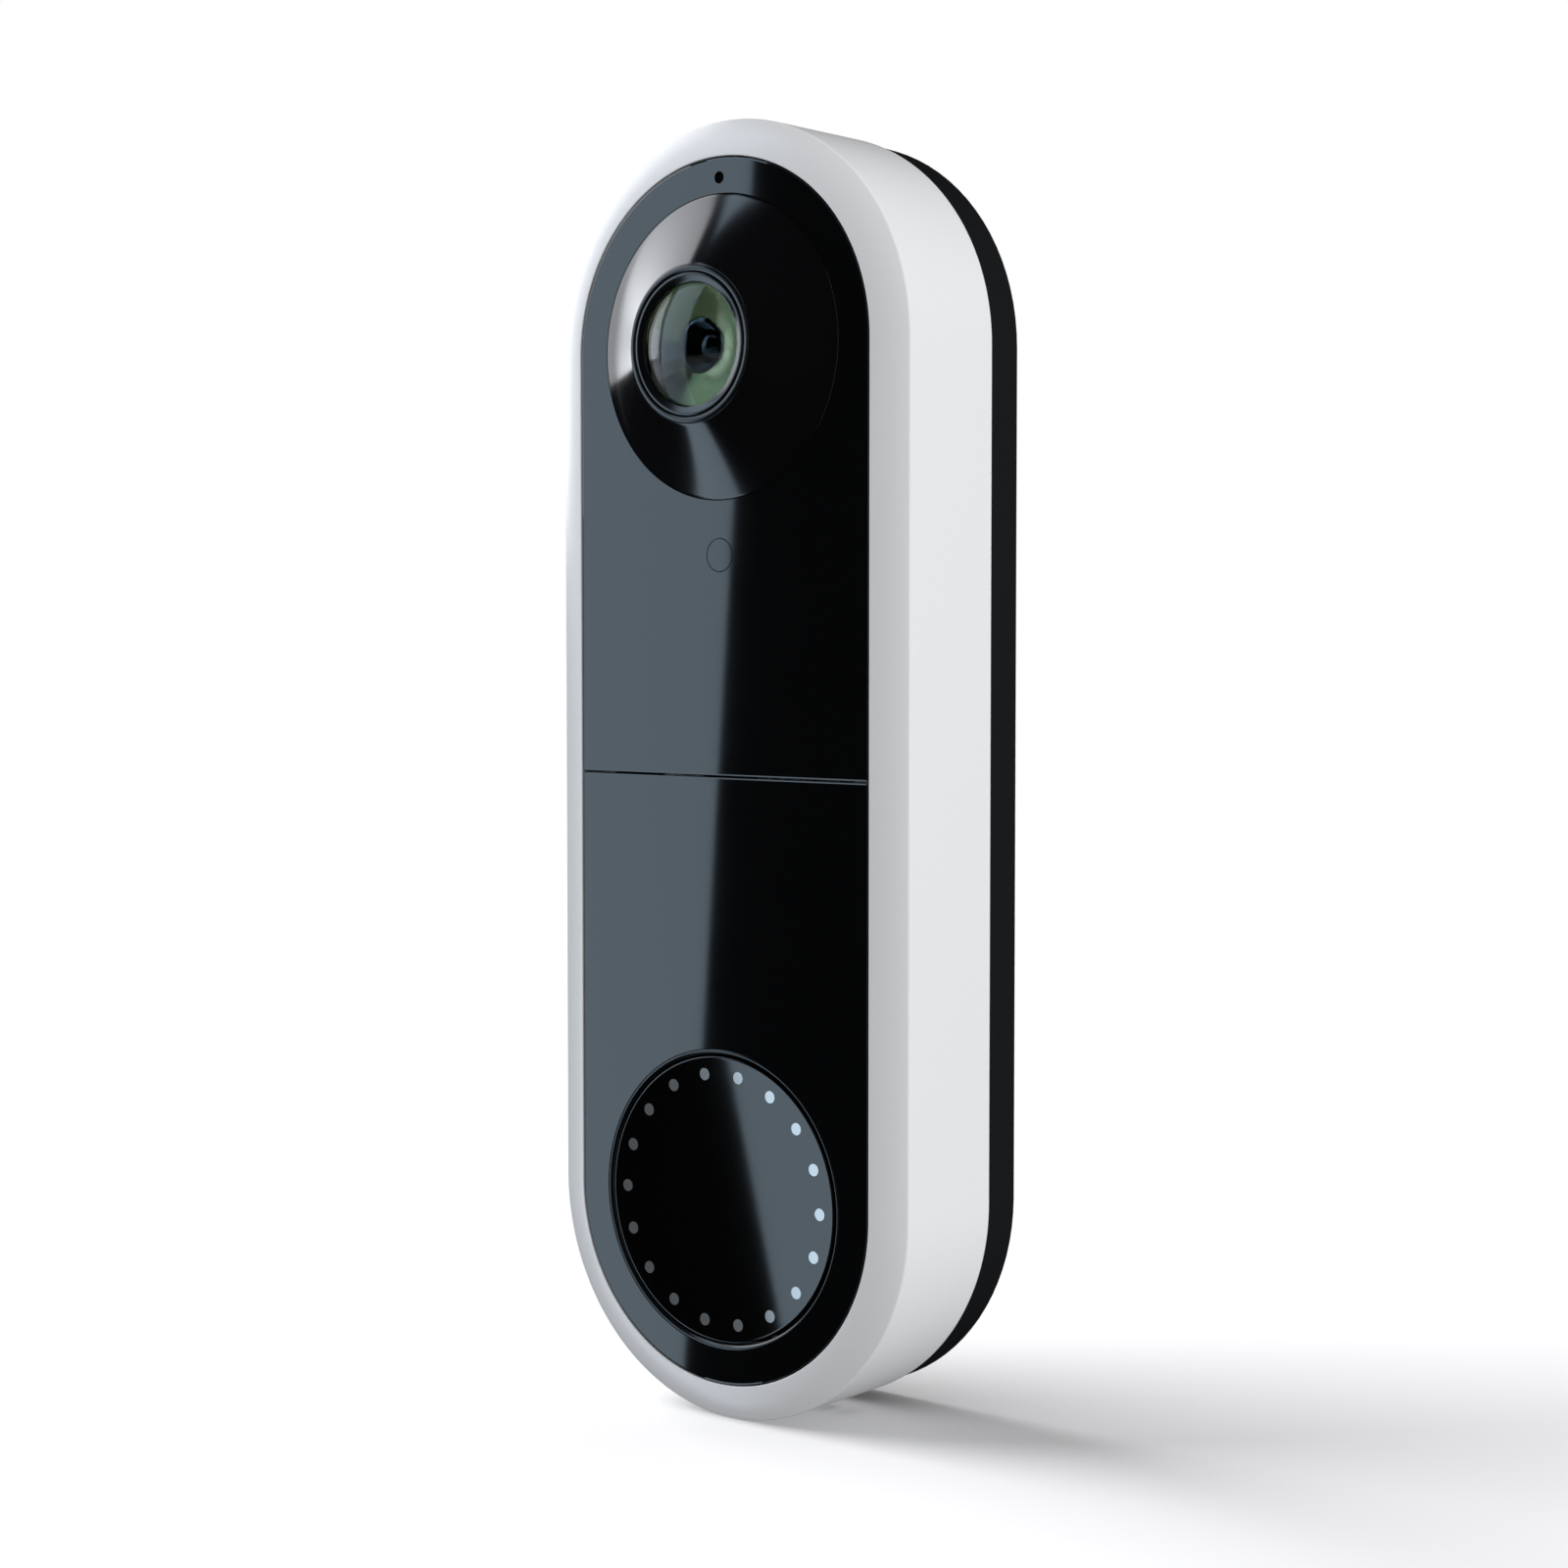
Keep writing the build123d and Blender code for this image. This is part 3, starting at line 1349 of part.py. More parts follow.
# ======== mounting plate ========
plate_taper = degrees(atan(plate_draft / plate_depth))
plate_edge = 0.3
wire_corner = 3.0
head_recess = 0.8
pocket_depth = 2.0            # pocket inside the plate's wall, so the tongue can reach it
with BuildPart() as mounting_plate:
    with BuildSketch(Plane.XZ.offset(0)):
        stadium(plate_back_radius)
    extrude(amount=plate_depth, taper=-plate_taper)
    chamfer(faces().sort_by(Axis.Y)[-1].edges(), plate_edge)
    with BuildSketch(Plane.XZ.offset(plate_web)):
        stadium(plate_inner_radius)
    extrude(amount=plate_depth, mode=Mode.SUBTRACT)
    # wire opening and wall screw holes
    with BuildSketch(Plane.XZ.offset(0)):
        RectangleRounded(wire_opening_width, wire_opening_height, wire_corner)
    extrude(amount=plate_web, mode=Mode.SUBTRACT)
    with BuildSketch(Plane.XZ.offset(0)):
        with GridLocations(0, wall_screw_spacing, 1, 2):
            Circle(wall_screw_radius)
    extrude(amount=plate_web, mode=Mode.SUBTRACT)
    with BuildSketch(Plane.XZ.offset(plate_web)):
        with GridLocations(0, wall_screw_spacing, 1, 2):
            Circle(wall_screw_head)
    extrude(amount=-head_recess, mode=Mode.SUBTRACT)
    # pockets in the wall for the cover's tab and the latch nose, and the hole for the release pin
    with BuildSketch(Plane.XZ.offset(window_back)):
        with Locations((0, plate_inner_z + plate_wall)):
            Rectangle(tab_width + 2 * loose_fit, 2 * plate_wall + pocket_depth, align=(Align.CENTER, Align.MAX))
        with Locations((0, -plate_inner_z - plate_wall)):
            Rectangle(nose_width + 2 * loose_fit, 2 * plate_wall + pocket_depth, align=(Align.CENTER, Align.MIN))
        reach_limit(tongue_reach + loose_fit)
    extrude(amount=window_front - window_back, mode=Mode.SUBTRACT)
    with BuildSketch(Plane.XY.offset(-plate_inner_z)):
        with Locations((0, -(window_back + window_front) / 2)):
            Circle(pin_hole_radius)
    extrude(amount=2 * plate_wall, both=True, mode=Mode.SUBTRACT)
finish(mounting_plate.part, "mounting_plate")
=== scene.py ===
# %% [markdown]
# # A wall doorbell with a camera, built round its engineering model
#
# The frame brings in every engineering part at its real place. The parts that the eye meets first, the white
# shell, the gloss black face, the camera bezel, the lens and the call button, are made again here as fine
# surfaces, because reflections show every facet. The inner parts keep their engineering shape and get a finish.

# %% Load the frame and note its size
import bmesh
import bpy
import numpy as np
from math import radians, sin, cos
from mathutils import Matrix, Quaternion, Vector


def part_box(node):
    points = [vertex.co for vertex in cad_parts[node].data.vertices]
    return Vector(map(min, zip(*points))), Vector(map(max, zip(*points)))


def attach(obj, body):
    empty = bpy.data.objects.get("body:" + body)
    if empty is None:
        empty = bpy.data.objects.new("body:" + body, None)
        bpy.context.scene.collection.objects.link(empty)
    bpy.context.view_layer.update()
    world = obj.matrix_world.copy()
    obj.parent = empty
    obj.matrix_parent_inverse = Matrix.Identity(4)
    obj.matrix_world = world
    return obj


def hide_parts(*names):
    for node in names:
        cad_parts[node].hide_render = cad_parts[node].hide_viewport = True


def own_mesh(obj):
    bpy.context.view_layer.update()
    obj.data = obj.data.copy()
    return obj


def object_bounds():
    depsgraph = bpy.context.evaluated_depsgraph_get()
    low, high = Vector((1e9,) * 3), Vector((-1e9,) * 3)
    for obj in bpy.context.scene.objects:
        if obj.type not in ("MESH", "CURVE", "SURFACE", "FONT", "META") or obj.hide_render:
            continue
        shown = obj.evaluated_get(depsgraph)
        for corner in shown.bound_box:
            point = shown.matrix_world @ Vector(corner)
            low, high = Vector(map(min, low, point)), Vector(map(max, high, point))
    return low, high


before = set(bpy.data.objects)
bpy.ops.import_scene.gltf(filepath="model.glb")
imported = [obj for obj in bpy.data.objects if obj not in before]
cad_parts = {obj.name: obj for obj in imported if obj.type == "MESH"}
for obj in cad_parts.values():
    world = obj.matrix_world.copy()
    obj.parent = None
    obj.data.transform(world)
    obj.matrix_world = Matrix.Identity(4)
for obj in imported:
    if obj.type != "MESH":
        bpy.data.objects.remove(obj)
cad_low, cad_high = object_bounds()
MM = 0.001


def middle(node):
    """Centre of a part's box, in millimetres."""
    low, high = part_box(node)
    return np.array(low + high) / 2 / MM


def edge(node, corner, axis):
    """One coordinate of a part's box, in millimetres: corner 0 is the lowest, 1 the highest."""
    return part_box(node)[corner][axis] / MM


print("overall size in mm:", [round(v / MM, 2) for v in cad_high - cad_low])

# %% [markdown]
# ## Places that every piece shares
#
# A depth is a distance out from the wall. The outline of the whole doorbell is a stadium: two half rounds
# joined by straight sides, so two centres and a radius describe it.

# %% Shared places
half_width = edge("front_housing", 1, 0)
arc_z = edge("front_housing", 1, 2) - half_width
housing_back = -edge("front_housing", 1, 1)
panel_depth = -edge("front_housing", 0, 1)
deck_front = -edge("upper_panel", 1, 1)
camera_z = middle("lens_cone")[2]
button_z = middle("call_button_cap")[2]
print("arc centres", round(arc_z, 2), "mm above and below the middle, face at depth", round(panel_depth, 2))

# %% [markdown]
# ## Turning a formula into a mesh
#
# Every new surface is a grid: rows along a profile and columns round a path. The same small set of helpers
# makes a turned piece, a piece swept round the stadium, and a flat plate with a bevelled edge.

# %% Mesh helpers
ROUND = 192


def mesh_piece(name, points, faces, sharp=32):
    """Mesh object from points in millimetres. Faces that meet at more than the sharp angle keep their edge."""
    mesh = bpy.data.meshes.new(name)
    mesh.from_pydata((np.asarray(points, float) * MM).tolist(), [], [list(f) for f in faces])
    mesh.validate()
    mesh.shade_smooth()
    mesh.set_sharp_from_angle(angle=radians(sharp))
    piece = bpy.data.objects.new(name, mesh)
    bpy.context.scene.collection.objects.link(piece)
    return piece


def grid_faces(rows, columns, close_rows=False, first=0):
    """Quads between neighbouring rows and columns of a grid.

    The columns always close into a ring; the rows do when asked. `first` is the number of the first point.
    """
    r = np.arange(rows if close_rows else rows - 1)
    r, c = [a.ravel() for a in np.meshgrid(r, np.arange(columns), indexing="ij")]
    r2, c2 = (r + 1) % rows, (c + 1) % columns
    quads = np.stack([r * columns + c, r * columns + c2, r2 * columns + c2, r2 * columns + c], 1)
    return (quads + first).tolist()


def end_caps(count, last):
    """Two flat faces: one on the first ring of `count` points, one turned round on the ring that starts at `last`."""
    return [list(range(count)), list(range(last + count - 1, last - 1, -1))]


def rounded(points, radius, steps=5, closed=True):
    """Profile with each corner replaced by a curve that leaves it `radius` away on both sides.

    The curve is a quadratic blend: (1-t)^2 of the point before, 2t(1-t) of the corner, t^2 of the point after.
    A radius may be one number or one number for each corner; zero keeps the corner. A curve takes at most
    the `longest` share of either side, so that two neighbours never meet.
    """
    points = np.asarray(points, float)
    radius = np.broadcast_to(radius, len(points))
    longest = 0.49
    t = np.linspace(0, 1, steps)[:, None]
    out = []
    for i, (corner, r) in enumerate(zip(points, radius)):
        end = not closed and i in (0, len(points) - 1)
        if r == 0 or end:
            out.append(corner[None])
            continue
        before = points[i - 1] - corner
        after = points[(i + 1) % len(points)] - corner
        a = corner + before / np.linalg.norm(before) * min(r, np.linalg.norm(before) * longest)
        b = corner + after / np.linalg.norm(after) * min(r, np.linalg.norm(after) * longest)
        out.append((1 - t) ** 2 * a + 2 * t * (1 - t) * corner + t ** 2 * b)
    return np.concatenate(out)


def facing_out(piece):
    """Turn the faces outwards on a closed piece."""
    work = bmesh.new()
    work.from_mesh(piece.data)
    bmesh.ops.remove_doubles(work, verts=work.verts, dist=1e-8)
    bmesh.ops.recalc_face_normals(work, faces=work.faces)
    work.to_mesh(piece.data)
    work.free()
    return piece


def turned(name, profile, z, closed=True, columns=ROUND, sharp=32):
    """Profile of (radius, depth) points turned about the depth axis at height z: x = r cos a, z = r sin a."""
    profile = np.asarray(profile, float)
    angle = np.linspace(0, 2 * np.pi, columns, endpoint=False)
    r, d = profile[:, :1], profile[:, 1:]
    grid = np.stack(np.broadcast_arrays(r * np.cos(angle), -d, z + r * np.sin(angle)), -1)
    faces = grid_faces(len(profile), columns, close_rows=closed)
    return facing_out(mesh_piece(name, grid.reshape(-1, 3), faces, sharp))


def stadium_path(columns=ROUND, straight=24):
    """Angles and arc centre heights once round the stadium; the straight sides get their own even steps."""
    half = columns // 2
    bend = np.linspace(0, np.pi, half)
    side = np.linspace(1, -1, straight + 2)[1:-1]
    angle = np.concatenate([bend, np.full(straight, np.pi), bend + np.pi, np.zeros(straight)])
    centre = np.concatenate([np.ones(half), side, -np.ones(half), -side])
    return angle, centre


def swept(name, profile, sharp=32):
    """Closed profile of (radius, depth) points carried once round the stadium."""
    angle, centre = stadium_path()
    r, d = profile[:, :1], profile[:, 1:]
    grid = np.stack(np.broadcast_arrays(r * np.cos(angle), -d, arc_z * centre + r * np.sin(angle)), -1)
    faces = grid_faces(len(profile), len(angle), close_rows=True)
    return facing_out(mesh_piece(name, grid.reshape(-1, 3), faces, sharp))


def cut(piece, cutters, sharp=32):
    """Subtract the cutters from the piece, keep the result as its mesh and remove the cutters."""
    for cutter in cutters:
        boolean = piece.modifiers.new("cut", "BOOLEAN")
        boolean.operation = "DIFFERENCE"
        boolean.solver = "EXACT"
        boolean.object = cutter
    bpy.context.view_layer.update()
    evaluated = piece.evaluated_get(bpy.context.evaluated_depsgraph_get())
    mesh = bpy.data.meshes.new_from_object(evaluated)
    piece.modifiers.clear()
    piece.data = mesh
    mesh.shade_smooth()
    mesh.set_sharp_from_angle(angle=radians(sharp))
    for cutter in cutters:
        bpy.data.objects.remove(cutter)
    return piece


def plug(name, radius, z, low, high):
    """Round cutter between two depths."""
    return turned(name, [(0.0, low), (radius, low), (radius, high), (0.0, high)], z, closed=False, columns=96)


print("a round path has", ROUND, "columns, the stadium", len(stadium_path()[0]))

# %% [markdown]
# ## Materials
#
# Colours are written as the hex values that a colour picker shows and turned to linear light once. Each
# finish starts from the real stuff: moulded ABS is a soft-edged gloss, the black face is polycarbonate with a
# hard polish, the plate has a spark-eroded grain. Grain sizes are real millimetres. Moulding and handling
# never leave a surface even, so most finishes drift a little in roughness and colour over some millimetres.

# %% Material helpers


def linear(code):
    """sRGB hex to linear light: c/12.92 below 0.04045, otherwise ((c + 0.055) / 1.055) to the power 2.4."""
    c = np.array([int(code[i:i + 2], 16) for i in (1, 3, 5)]) / 255
    return (*np.where(c <= 0.04045, c / 12.92, ((c + 0.055) / 1.055) ** 2.4).tolist(), 1.0)


def add(material, kind, inputs=None, **settings):
    """Add one node with its settings; an input that is a socket is linked, any other is set."""
    tree = material.node_tree
    node = tree.nodes.new(kind)
    for key, value in settings.items():
        setattr(node, key, value)
    for key, value in (inputs or {}).items():
        if isinstance(value, bpy.types.NodeSocket):
            tree.links.new(value, node.inputs[key])
        else:
            node.inputs[key].default_value = value
    return node


def finish_material(name, colour, rough, grain_mm=0.25, grain_depth=0.01, rough_spread=0.04, tint=0.03, **sockets):
    """Principled surface with fine grain.

    A noise of grain_mm feature size bumps the surface by grain_depth mm, a broader one drifts the roughness
    by rough_spread and the colour by a share of tint, as handling and moulding leave it. A part of this with
    size 0 is left out, and the plain number or colour stays on the shader's own socket.
    """
    drift_mm = 8.0
    noise_low, noise_high = 0.15, 0.85
    material = bpy.data.materials.new(name)
    material.use_nodes = True
    shader = material.node_tree.nodes["Principled BSDF"]
    for key, value in sockets.items():
        shader.inputs[key.replace("_", " ")].default_value = value
    base = linear(colour)
    shader.inputs["Base Color"].default_value = base
    shader.inputs["Roughness"].default_value = rough
    place = add(material, "ShaderNodeTexCoord").outputs["Object"]
    if rough_spread or tint:
        broad = add(material, "ShaderNodeTexNoise", {"Vector": place, "Scale": 1 / (drift_mm * MM), "Detail": 3.0})
    if rough_spread:
        roughness = add(material, "ShaderNodeMapRange", {
            "Value": broad.outputs["Fac"], "From Min": noise_low, "From Max": noise_high,
            "To Min": max(rough - rough_spread, 0.0), "To Max": rough + rough_spread})
        material.node_tree.links.new(roughness.outputs["Result"], shader.inputs["Roughness"])
    if tint:
        darker = tuple(c * (1 - tint) for c in base[:3]) + (1.0,)
        mixed = add(
            material, "ShaderNodeMix", {"Factor": broad.outputs["Fac"], "A": darker, "B": base}, data_type="RGBA")
        material.node_tree.links.new(mixed.outputs["Result"], shader.inputs["Base Color"])
    if grain_depth:
        fine = add(material, "ShaderNodeTexNoise", {"Vector": place, "Scale": 1 / (grain_mm * MM), "Detail": 2.0})
        bump = add(material, "ShaderNodeBump", {
            "Height": fine.outputs["Fac"], "Strength": 1.0, "Distance": grain_depth * MM})
        material.node_tree.links.new(bump.outputs["Normal"], shader.inputs["Normal"])
    return material


def wear(piece, material):
    """Give a piece its one material."""
    piece.data.materials.clear()
    piece.data.materials.append(material)
    return piece


print("mid grey #808080 is", round(linear("#808080")[0], 3), "of full light")

# %% [markdown]
# ## The finish of the white shell
#
# ABS from a fine-polished mould mirrors only softly: a card turns into a broad glow and no outline shows. The
# faint 1.2 mm grain is the orange peel of the moulding. The colour is even, because the plastic is dyed through.

# %% White moulded ABS
shell_white = finish_material(
    "white_moulded_abs", "#EDEEF0", 0.295, grain_mm=1.2, grain_depth=0.0004, rough_spread=0.018, tint=0.0)
print("shell finish:", shell_white.name)

# %% [markdown]
# ## The white shell
#
# The shell is one injection-moulded ring of ABS. Its front rim bulges gently and rolls over a crisp crease
# into a side wall that narrows a little towards the wall, so that the part leaves its mould. Inside, the
# profile has the seat of the back cover, the cavity and the deck that carries the panels. Seven slots in the
# underside let the speaker be heard.

# %% Shell profile and sweep
rim_width = 3.75
rim_fall = 1.64
rim_crown = 0.30
draft = 0.2
crease = 0.3
back_radius = half_width - draft
rim_inner = half_width - rim_width
crease_depth = panel_depth - rim_fall

across = np.linspace(0, 1, 17)[:, None] ** 0.9
chord = (1 - across) * [half_width, crease_depth] + across * [rim_inner, panel_depth]
rim_curve = chord + 4 * across * (1 - across) * [0, rim_crown]
rim_curve = rim_curve[np.hypot(*(rim_curve - rim_curve[0]).T) > crease][:-1]
cavity = 19.9
seat = 20.8
shoulder = housing_back + 2.6
deck_opening = 15.6
deck_back = deck_front - 1.4
corner_points = [(seat, housing_back), (back_radius, housing_back), (half_width, crease_depth)]
corner_points += [tuple(p) for p in rim_curve]
corner_points += [
    (rim_inner, panel_depth), (rim_inner, deck_front), (deck_opening, deck_front), (deck_opening, deck_back),
    (cavity, deck_back), (cavity, shoulder), (seat, shoulder),
]
corner_radii = [0.1, 0.25, crease] + [0] * len(rim_curve) + [0.2, 0, 0, 0, 0, 0, 0]
shell = swept("white_shell", rounded(corner_points, corner_radii, steps=9), sharp=40)

slot_low, slot_high = 7.9, 10.5
slot_pitch, slot_half = 2.5, 0.55
slots_each_side = 3
slot_floor, slot_ceiling = -arc_z - half_width - 1, -arc_z - 15
cutters = []
for index in range(-slots_each_side, slots_each_side + 1):
    turn = np.linspace(0, 2 * np.pi, 40, endpoint=False)
    lift = np.where(np.sin(turn) >= 0, slot_high - slot_half, slot_low + slot_half)
    ring = np.stack([index * slot_pitch + slot_half * np.cos(turn), -(lift + slot_half * np.sin(turn))], 1)
    ends = [np.column_stack([ring, np.full(len(ring), z)]) for z in (slot_floor, slot_ceiling)]
    faces = grid_faces(2, len(ring)) + end_caps(len(ring), len(ring))
    cutters.append(facing_out(mesh_piece("slot_cutter", np.concatenate(ends), faces)))
cut(shell, cutters, sharp=40)
wear(shell, shell_white)
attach(shell, "doorbell")
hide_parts("front_housing")
print("shell:", len(shell.data.polygons), "faces")

# %% [markdown]
# ## The finish of the face
#
# Polycarbonate pressed against a mirror-polished mould reflects like black glass, so the face shows whatever
# stands in front of it with clean edges. Wiping leaves only a trace of unevenness in the polish.

# %% Gloss black polycarbonate
face_black = finish_material("gloss_black_polycarbonate", "#08090A", 0.025, grain_depth=0.0, rough_spread=0.004)
print("face finish:", face_black.name)

# %% [markdown]
# ## The two gloss panels
#
# The black face is two flat plates. What matters is that they are truly flat, with a hairline bevel that
# catches light along the seam between them. Holes are cut for the bezel, the light window, the microphone
# and the button's trim ring.

# %% Panel outline and plates


def panel_outline(radius, seam, side):
    """Half stadium cut square at the seam: the bend at radius about the arc centre, then down to the seam."""
    bend = np.linspace(0, np.pi, ROUND)
    x = np.concatenate([[radius], radius * np.cos(bend), [-radius]])
    z = np.concatenate([[seam], arc_z + radius * np.sin(bend), [seam]])
    return np.stack([x, side * z], 1)


def panel(name, side, holes):
    """Flat plate: the outline stands up to the bevel, steps in by the bevel and closes with flat faces."""
    radius = edge("upper_panel", 1, 0)
    seam = edge("upper_panel", 0, 2)
    bevel = 0.16
    belly = bevel * 0.3
    rows = []
    for inset, depth in (
            (0, deck_front), (0, panel_depth - bevel), (belly, panel_depth - belly), (bevel, panel_depth)):
        line = panel_outline(radius - inset, seam + inset, side)
        rows.append(np.stack([line[:, 0], np.full(len(line), -depth), line[:, 1]], 1))
    count = len(rows[0])
    faces = grid_faces(len(rows), count) + end_caps(count, (len(rows) - 1) * count)
    plate = facing_out(mesh_piece(name, np.concatenate(rows), faces, sharp=20))
    cut(plate, [plug("hole", r, z, deck_front - 1, panel_depth + 1) for r, z in holes], sharp=20)
    wear(plate, face_black)
    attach(plate, "doorbell")
    return plate


cone_radius = edge("lens_cone", 1, 0)
pipe_z = middle("light_pipe")[2]
pipe_radius = edge("light_pipe", 1, 0)
microphone_z = middle("microphone_boot")[2]
trim_radius = edge("button_trim_ring", 1, 0)
hairline = 0.05
pipe_gap = 0.07
sound_hole = 0.6
upper = panel("upper_face", 1, [
    (cone_radius + hairline, camera_z), (pipe_radius + pipe_gap, pipe_z), (sound_hole, microphone_z)])
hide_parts("upper_panel")
pipe_back = -edge("light_pipe", 1, 1)
pipe = turned("light_window", rounded([
    (0.0, pipe_back), (pipe_radius, pipe_back), (pipe_radius, panel_depth), (pipe_radius - 0.06, panel_depth),
    (0.0, panel_depth),
], [0, 0, 0.03, 0, 0], closed=False), pipe_z, closed=False, columns=96, sharp=8)
wear(pipe, face_black)
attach(pipe, "doorbell")
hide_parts("light_pipe")
lower = panel("lower_face", -1, [(trim_radius + hairline, button_z)])
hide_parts("lower_panel")
print("panels:", len(upper.data.polygons), len(lower.data.polygons), "faces")

# %% [markdown]
# ## Camera finishes
#
# The bezel is infrared-clear plastic with a slightly softer polish than the face, which gives the bright
# sectors on it soft edges. The rings are turned and anodised: fine tool marks spread their highlights into a
# satin line. The baffle is matt, so that stray light dies on it.

# %% Bezel, ring and baffle finishes
cone_black = finish_material("gloss_black_bezel", "#0B0B0D", 0.13, grain_depth=0.0, rough_spread=0.01)
ring_black = finish_material("satin_black_ring", "#0B0C0E", 0.16, grain_mm=0.08, grain_depth=0.0003, rough_spread=0.02)
barrel_black = finish_material("matt_black_baffle", "#050506", 0.5, grain_mm=0.08, grain_depth=0.002)
print("camera finishes:", cone_black.name, ring_black.name, barrel_black.name)

# %% [markdown]
# ## The camera bezel and its rings
#
# Light sources sweep round the shallow cone as bright sectors, so it is turned from one smooth profile that
# sags a little, like the mouth of a bell. A trim ring crowns it, then a dark groove, then the ring that holds
# the front lens.

# %% Bezel, trim ring and retaining ring
cone_top = -edge("lens_cone", 0, 1)
trim_outer = edge("lens_trim_ring", 1, 0)
trim_inner = 7.09
trim_front = -edge("lens_trim_ring", 0, 1)
trim_back = -edge("lens_trim_ring", 1, 1)
ledge_back = trim_back - 0.6
ledge_radius = 8.2
skin_radius = cone_radius - 1.1
skin_depth = panel_depth - 0.6
flare = np.linspace(0, 1, 25)[1:-1, None]
flare_sag = 0.13
bell = (1 - flare) * [cone_radius, panel_depth] + flare * [trim_outer + hairline, cone_top]
bell = bell - 4 * flare * (1 - flare) * [0, flare_sag]
cone = turned("camera_bezel", rounded([
    (cone_radius, deck_front), (cone_radius, panel_depth), *bell, (trim_outer + hairline, cone_top),
    (trim_outer + hairline, trim_back), (trim_inner, trim_back), (trim_inner, ledge_back),
    (ledge_radius, ledge_back), (skin_radius, skin_depth), (skin_radius, deck_front),
], [0, 0.1] + [0] * len(bell) + [0.1, 0, 0, 0, 0, 0, 0]), camera_z, columns=360, sharp=25)
wear(cone, cone_black)
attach(cone, "doorbell")
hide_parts("lens_cone")

trim = turned("lens_trim", rounded([
    (trim_inner, trim_back), (trim_outer, trim_back), (trim_outer, trim_front), (trim_inner, trim_front),
], [0, 0, 0.14, 0.14]), camera_z, columns=256, sharp=40)
wear(trim, ring_black)
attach(trim, "doorbell")
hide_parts("lens_trim_ring")

ring_radius = edge("lens_retaining_ring", 1, 0)
ring_front = -edge("lens_retaining_ring", 0, 1)
ring_back = -edge("lens_retaining_ring", 1, 1)
glass_radius = 6.04
glass_seat = ring_front - 0.45
neck = 6.5
retainer = turned("lens_retainer", rounded([
    (neck, ring_back), (ring_radius, ring_back), (ring_radius, ring_front), (ring_radius - 0.3, ring_front),
    (glass_radius + 0.12, ring_front - 0.16), (glass_radius, ring_front - 0.26), (glass_radius, glass_seat),
    (neck, glass_seat),
], [0, 0, 0.12, 0.06, 0.05, 0.04, 0, 0]), camera_z, columns=256, sharp=30)
wear(retainer, ring_black)
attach(retainer, "doorbell")
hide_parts("lens_retaining_ring")
print("bezel:", len(cone.data.polygons), "faces, trim", len(trim.data.polygons), "retainer", len(retainer.data.polygons))

# %% [markdown]
# ## Glass and coatings
#
# Lens glass is coated so that it mirrors less than bare glass, and a low index of refraction gives the same
# weak mirror. The coating of the bowl behind it returns a green share of the light, as interference coatings
# do. The inner elements are nearly black and glint teal.

# %% Lens finishes


def glass_material(name, colour, ior):
    """Clear polished glass: full transmission, so that its colour is what light takes on passing through."""
    return finish_material(
        name, colour, 0.0, grain_depth=0.0, rough_spread=0.0, tint=0.0, Transmission_Weight=1.0, IOR=ior)


front_glass = glass_material("coated_front_glass", "#F4FAFF", 1.21)
green_coat = finish_material(
    "green_coated_glass_bowl", "#36402A", 0.16, grain_depth=0.0, rough_spread=0.02, Metallic=1.0)
inner_glass = finish_material(
    "teal_coated_inner_glass", "#030607", 0.05, grain_depth=0.0, rough_spread=0.01,
    IOR=1.28, Specular_Tint=linear("#9FCFE0"))
print("lens finishes:", front_glass.name, green_coat.name, inner_glass.name)

# %% [markdown]
# ## The lens
#
# A wide-angle lens shows three things: a domed front glass that mirrors the studio along its left edge, a
# green-coated bowl behind it, and a stack of dark rings that leads down to the pupil. Each is its own surface
# at its own depth, so the glints slide over one another when the view moves. The front glass is a thin dome,
# because that keeps what is behind it undistorted.

# %% Front element, coated bowl and inner rings


def dome(radius, rise, depth, steps=40):
    """Sphere cap from the axis to its edge: depth + rise at the centre, falling to depth at the radius."""
    ball = (radius ** 2 + rise ** 2) / (2 * abs(rise))
    r = np.linspace(0, radius, steps)
    sag = np.sqrt(ball ** 2 - r ** 2) - np.sqrt(ball ** 2 - radius ** 2)
    return np.stack([r, depth + np.sign(rise) * sag], 1)


lens_front = -edge("front_lens", 0, 1)
glass_edge = glass_radius - hairline
glass_thickness = 0.3
outer_face = dome(glass_edge, lens_front - glass_seat, glass_seat)
inner_face = dome(glass_edge, lens_front - glass_seat, glass_seat - glass_thickness)
front = turned(
    "front_element", np.concatenate([outer_face, inner_face[::-1]]), camera_z, closed=False, columns=256, sharp=30)
wear(front, front_glass)
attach(front, "doorbell")
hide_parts("front_lens")

bowl_edge = 2.75
barrel_bore = 4.4
barrel_front = -edge("lens_barrel", 0, 1)
share = np.linspace(0, 1, 24)[:, None]
bowl_top = np.array([glass_edge, glass_seat - glass_thickness - hairline])
bowl_face = bowl_top - (glass_edge - bowl_edge) * np.concatenate([share, 0.16 * share + 0.145 * share ** 2], 1)
bowl_back = bowl_face[-1, 1] - 0.3
bowl = turned("coated_bowl", np.concatenate([
    bowl_face,
    [(bowl_edge, bowl_back), (barrel_bore, bowl_back), (barrel_bore, barrel_front), (glass_edge, barrel_front)],
]), camera_z, columns=192, sharp=30)
wear(bowl, green_coat)
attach(bowl, "doorbell")

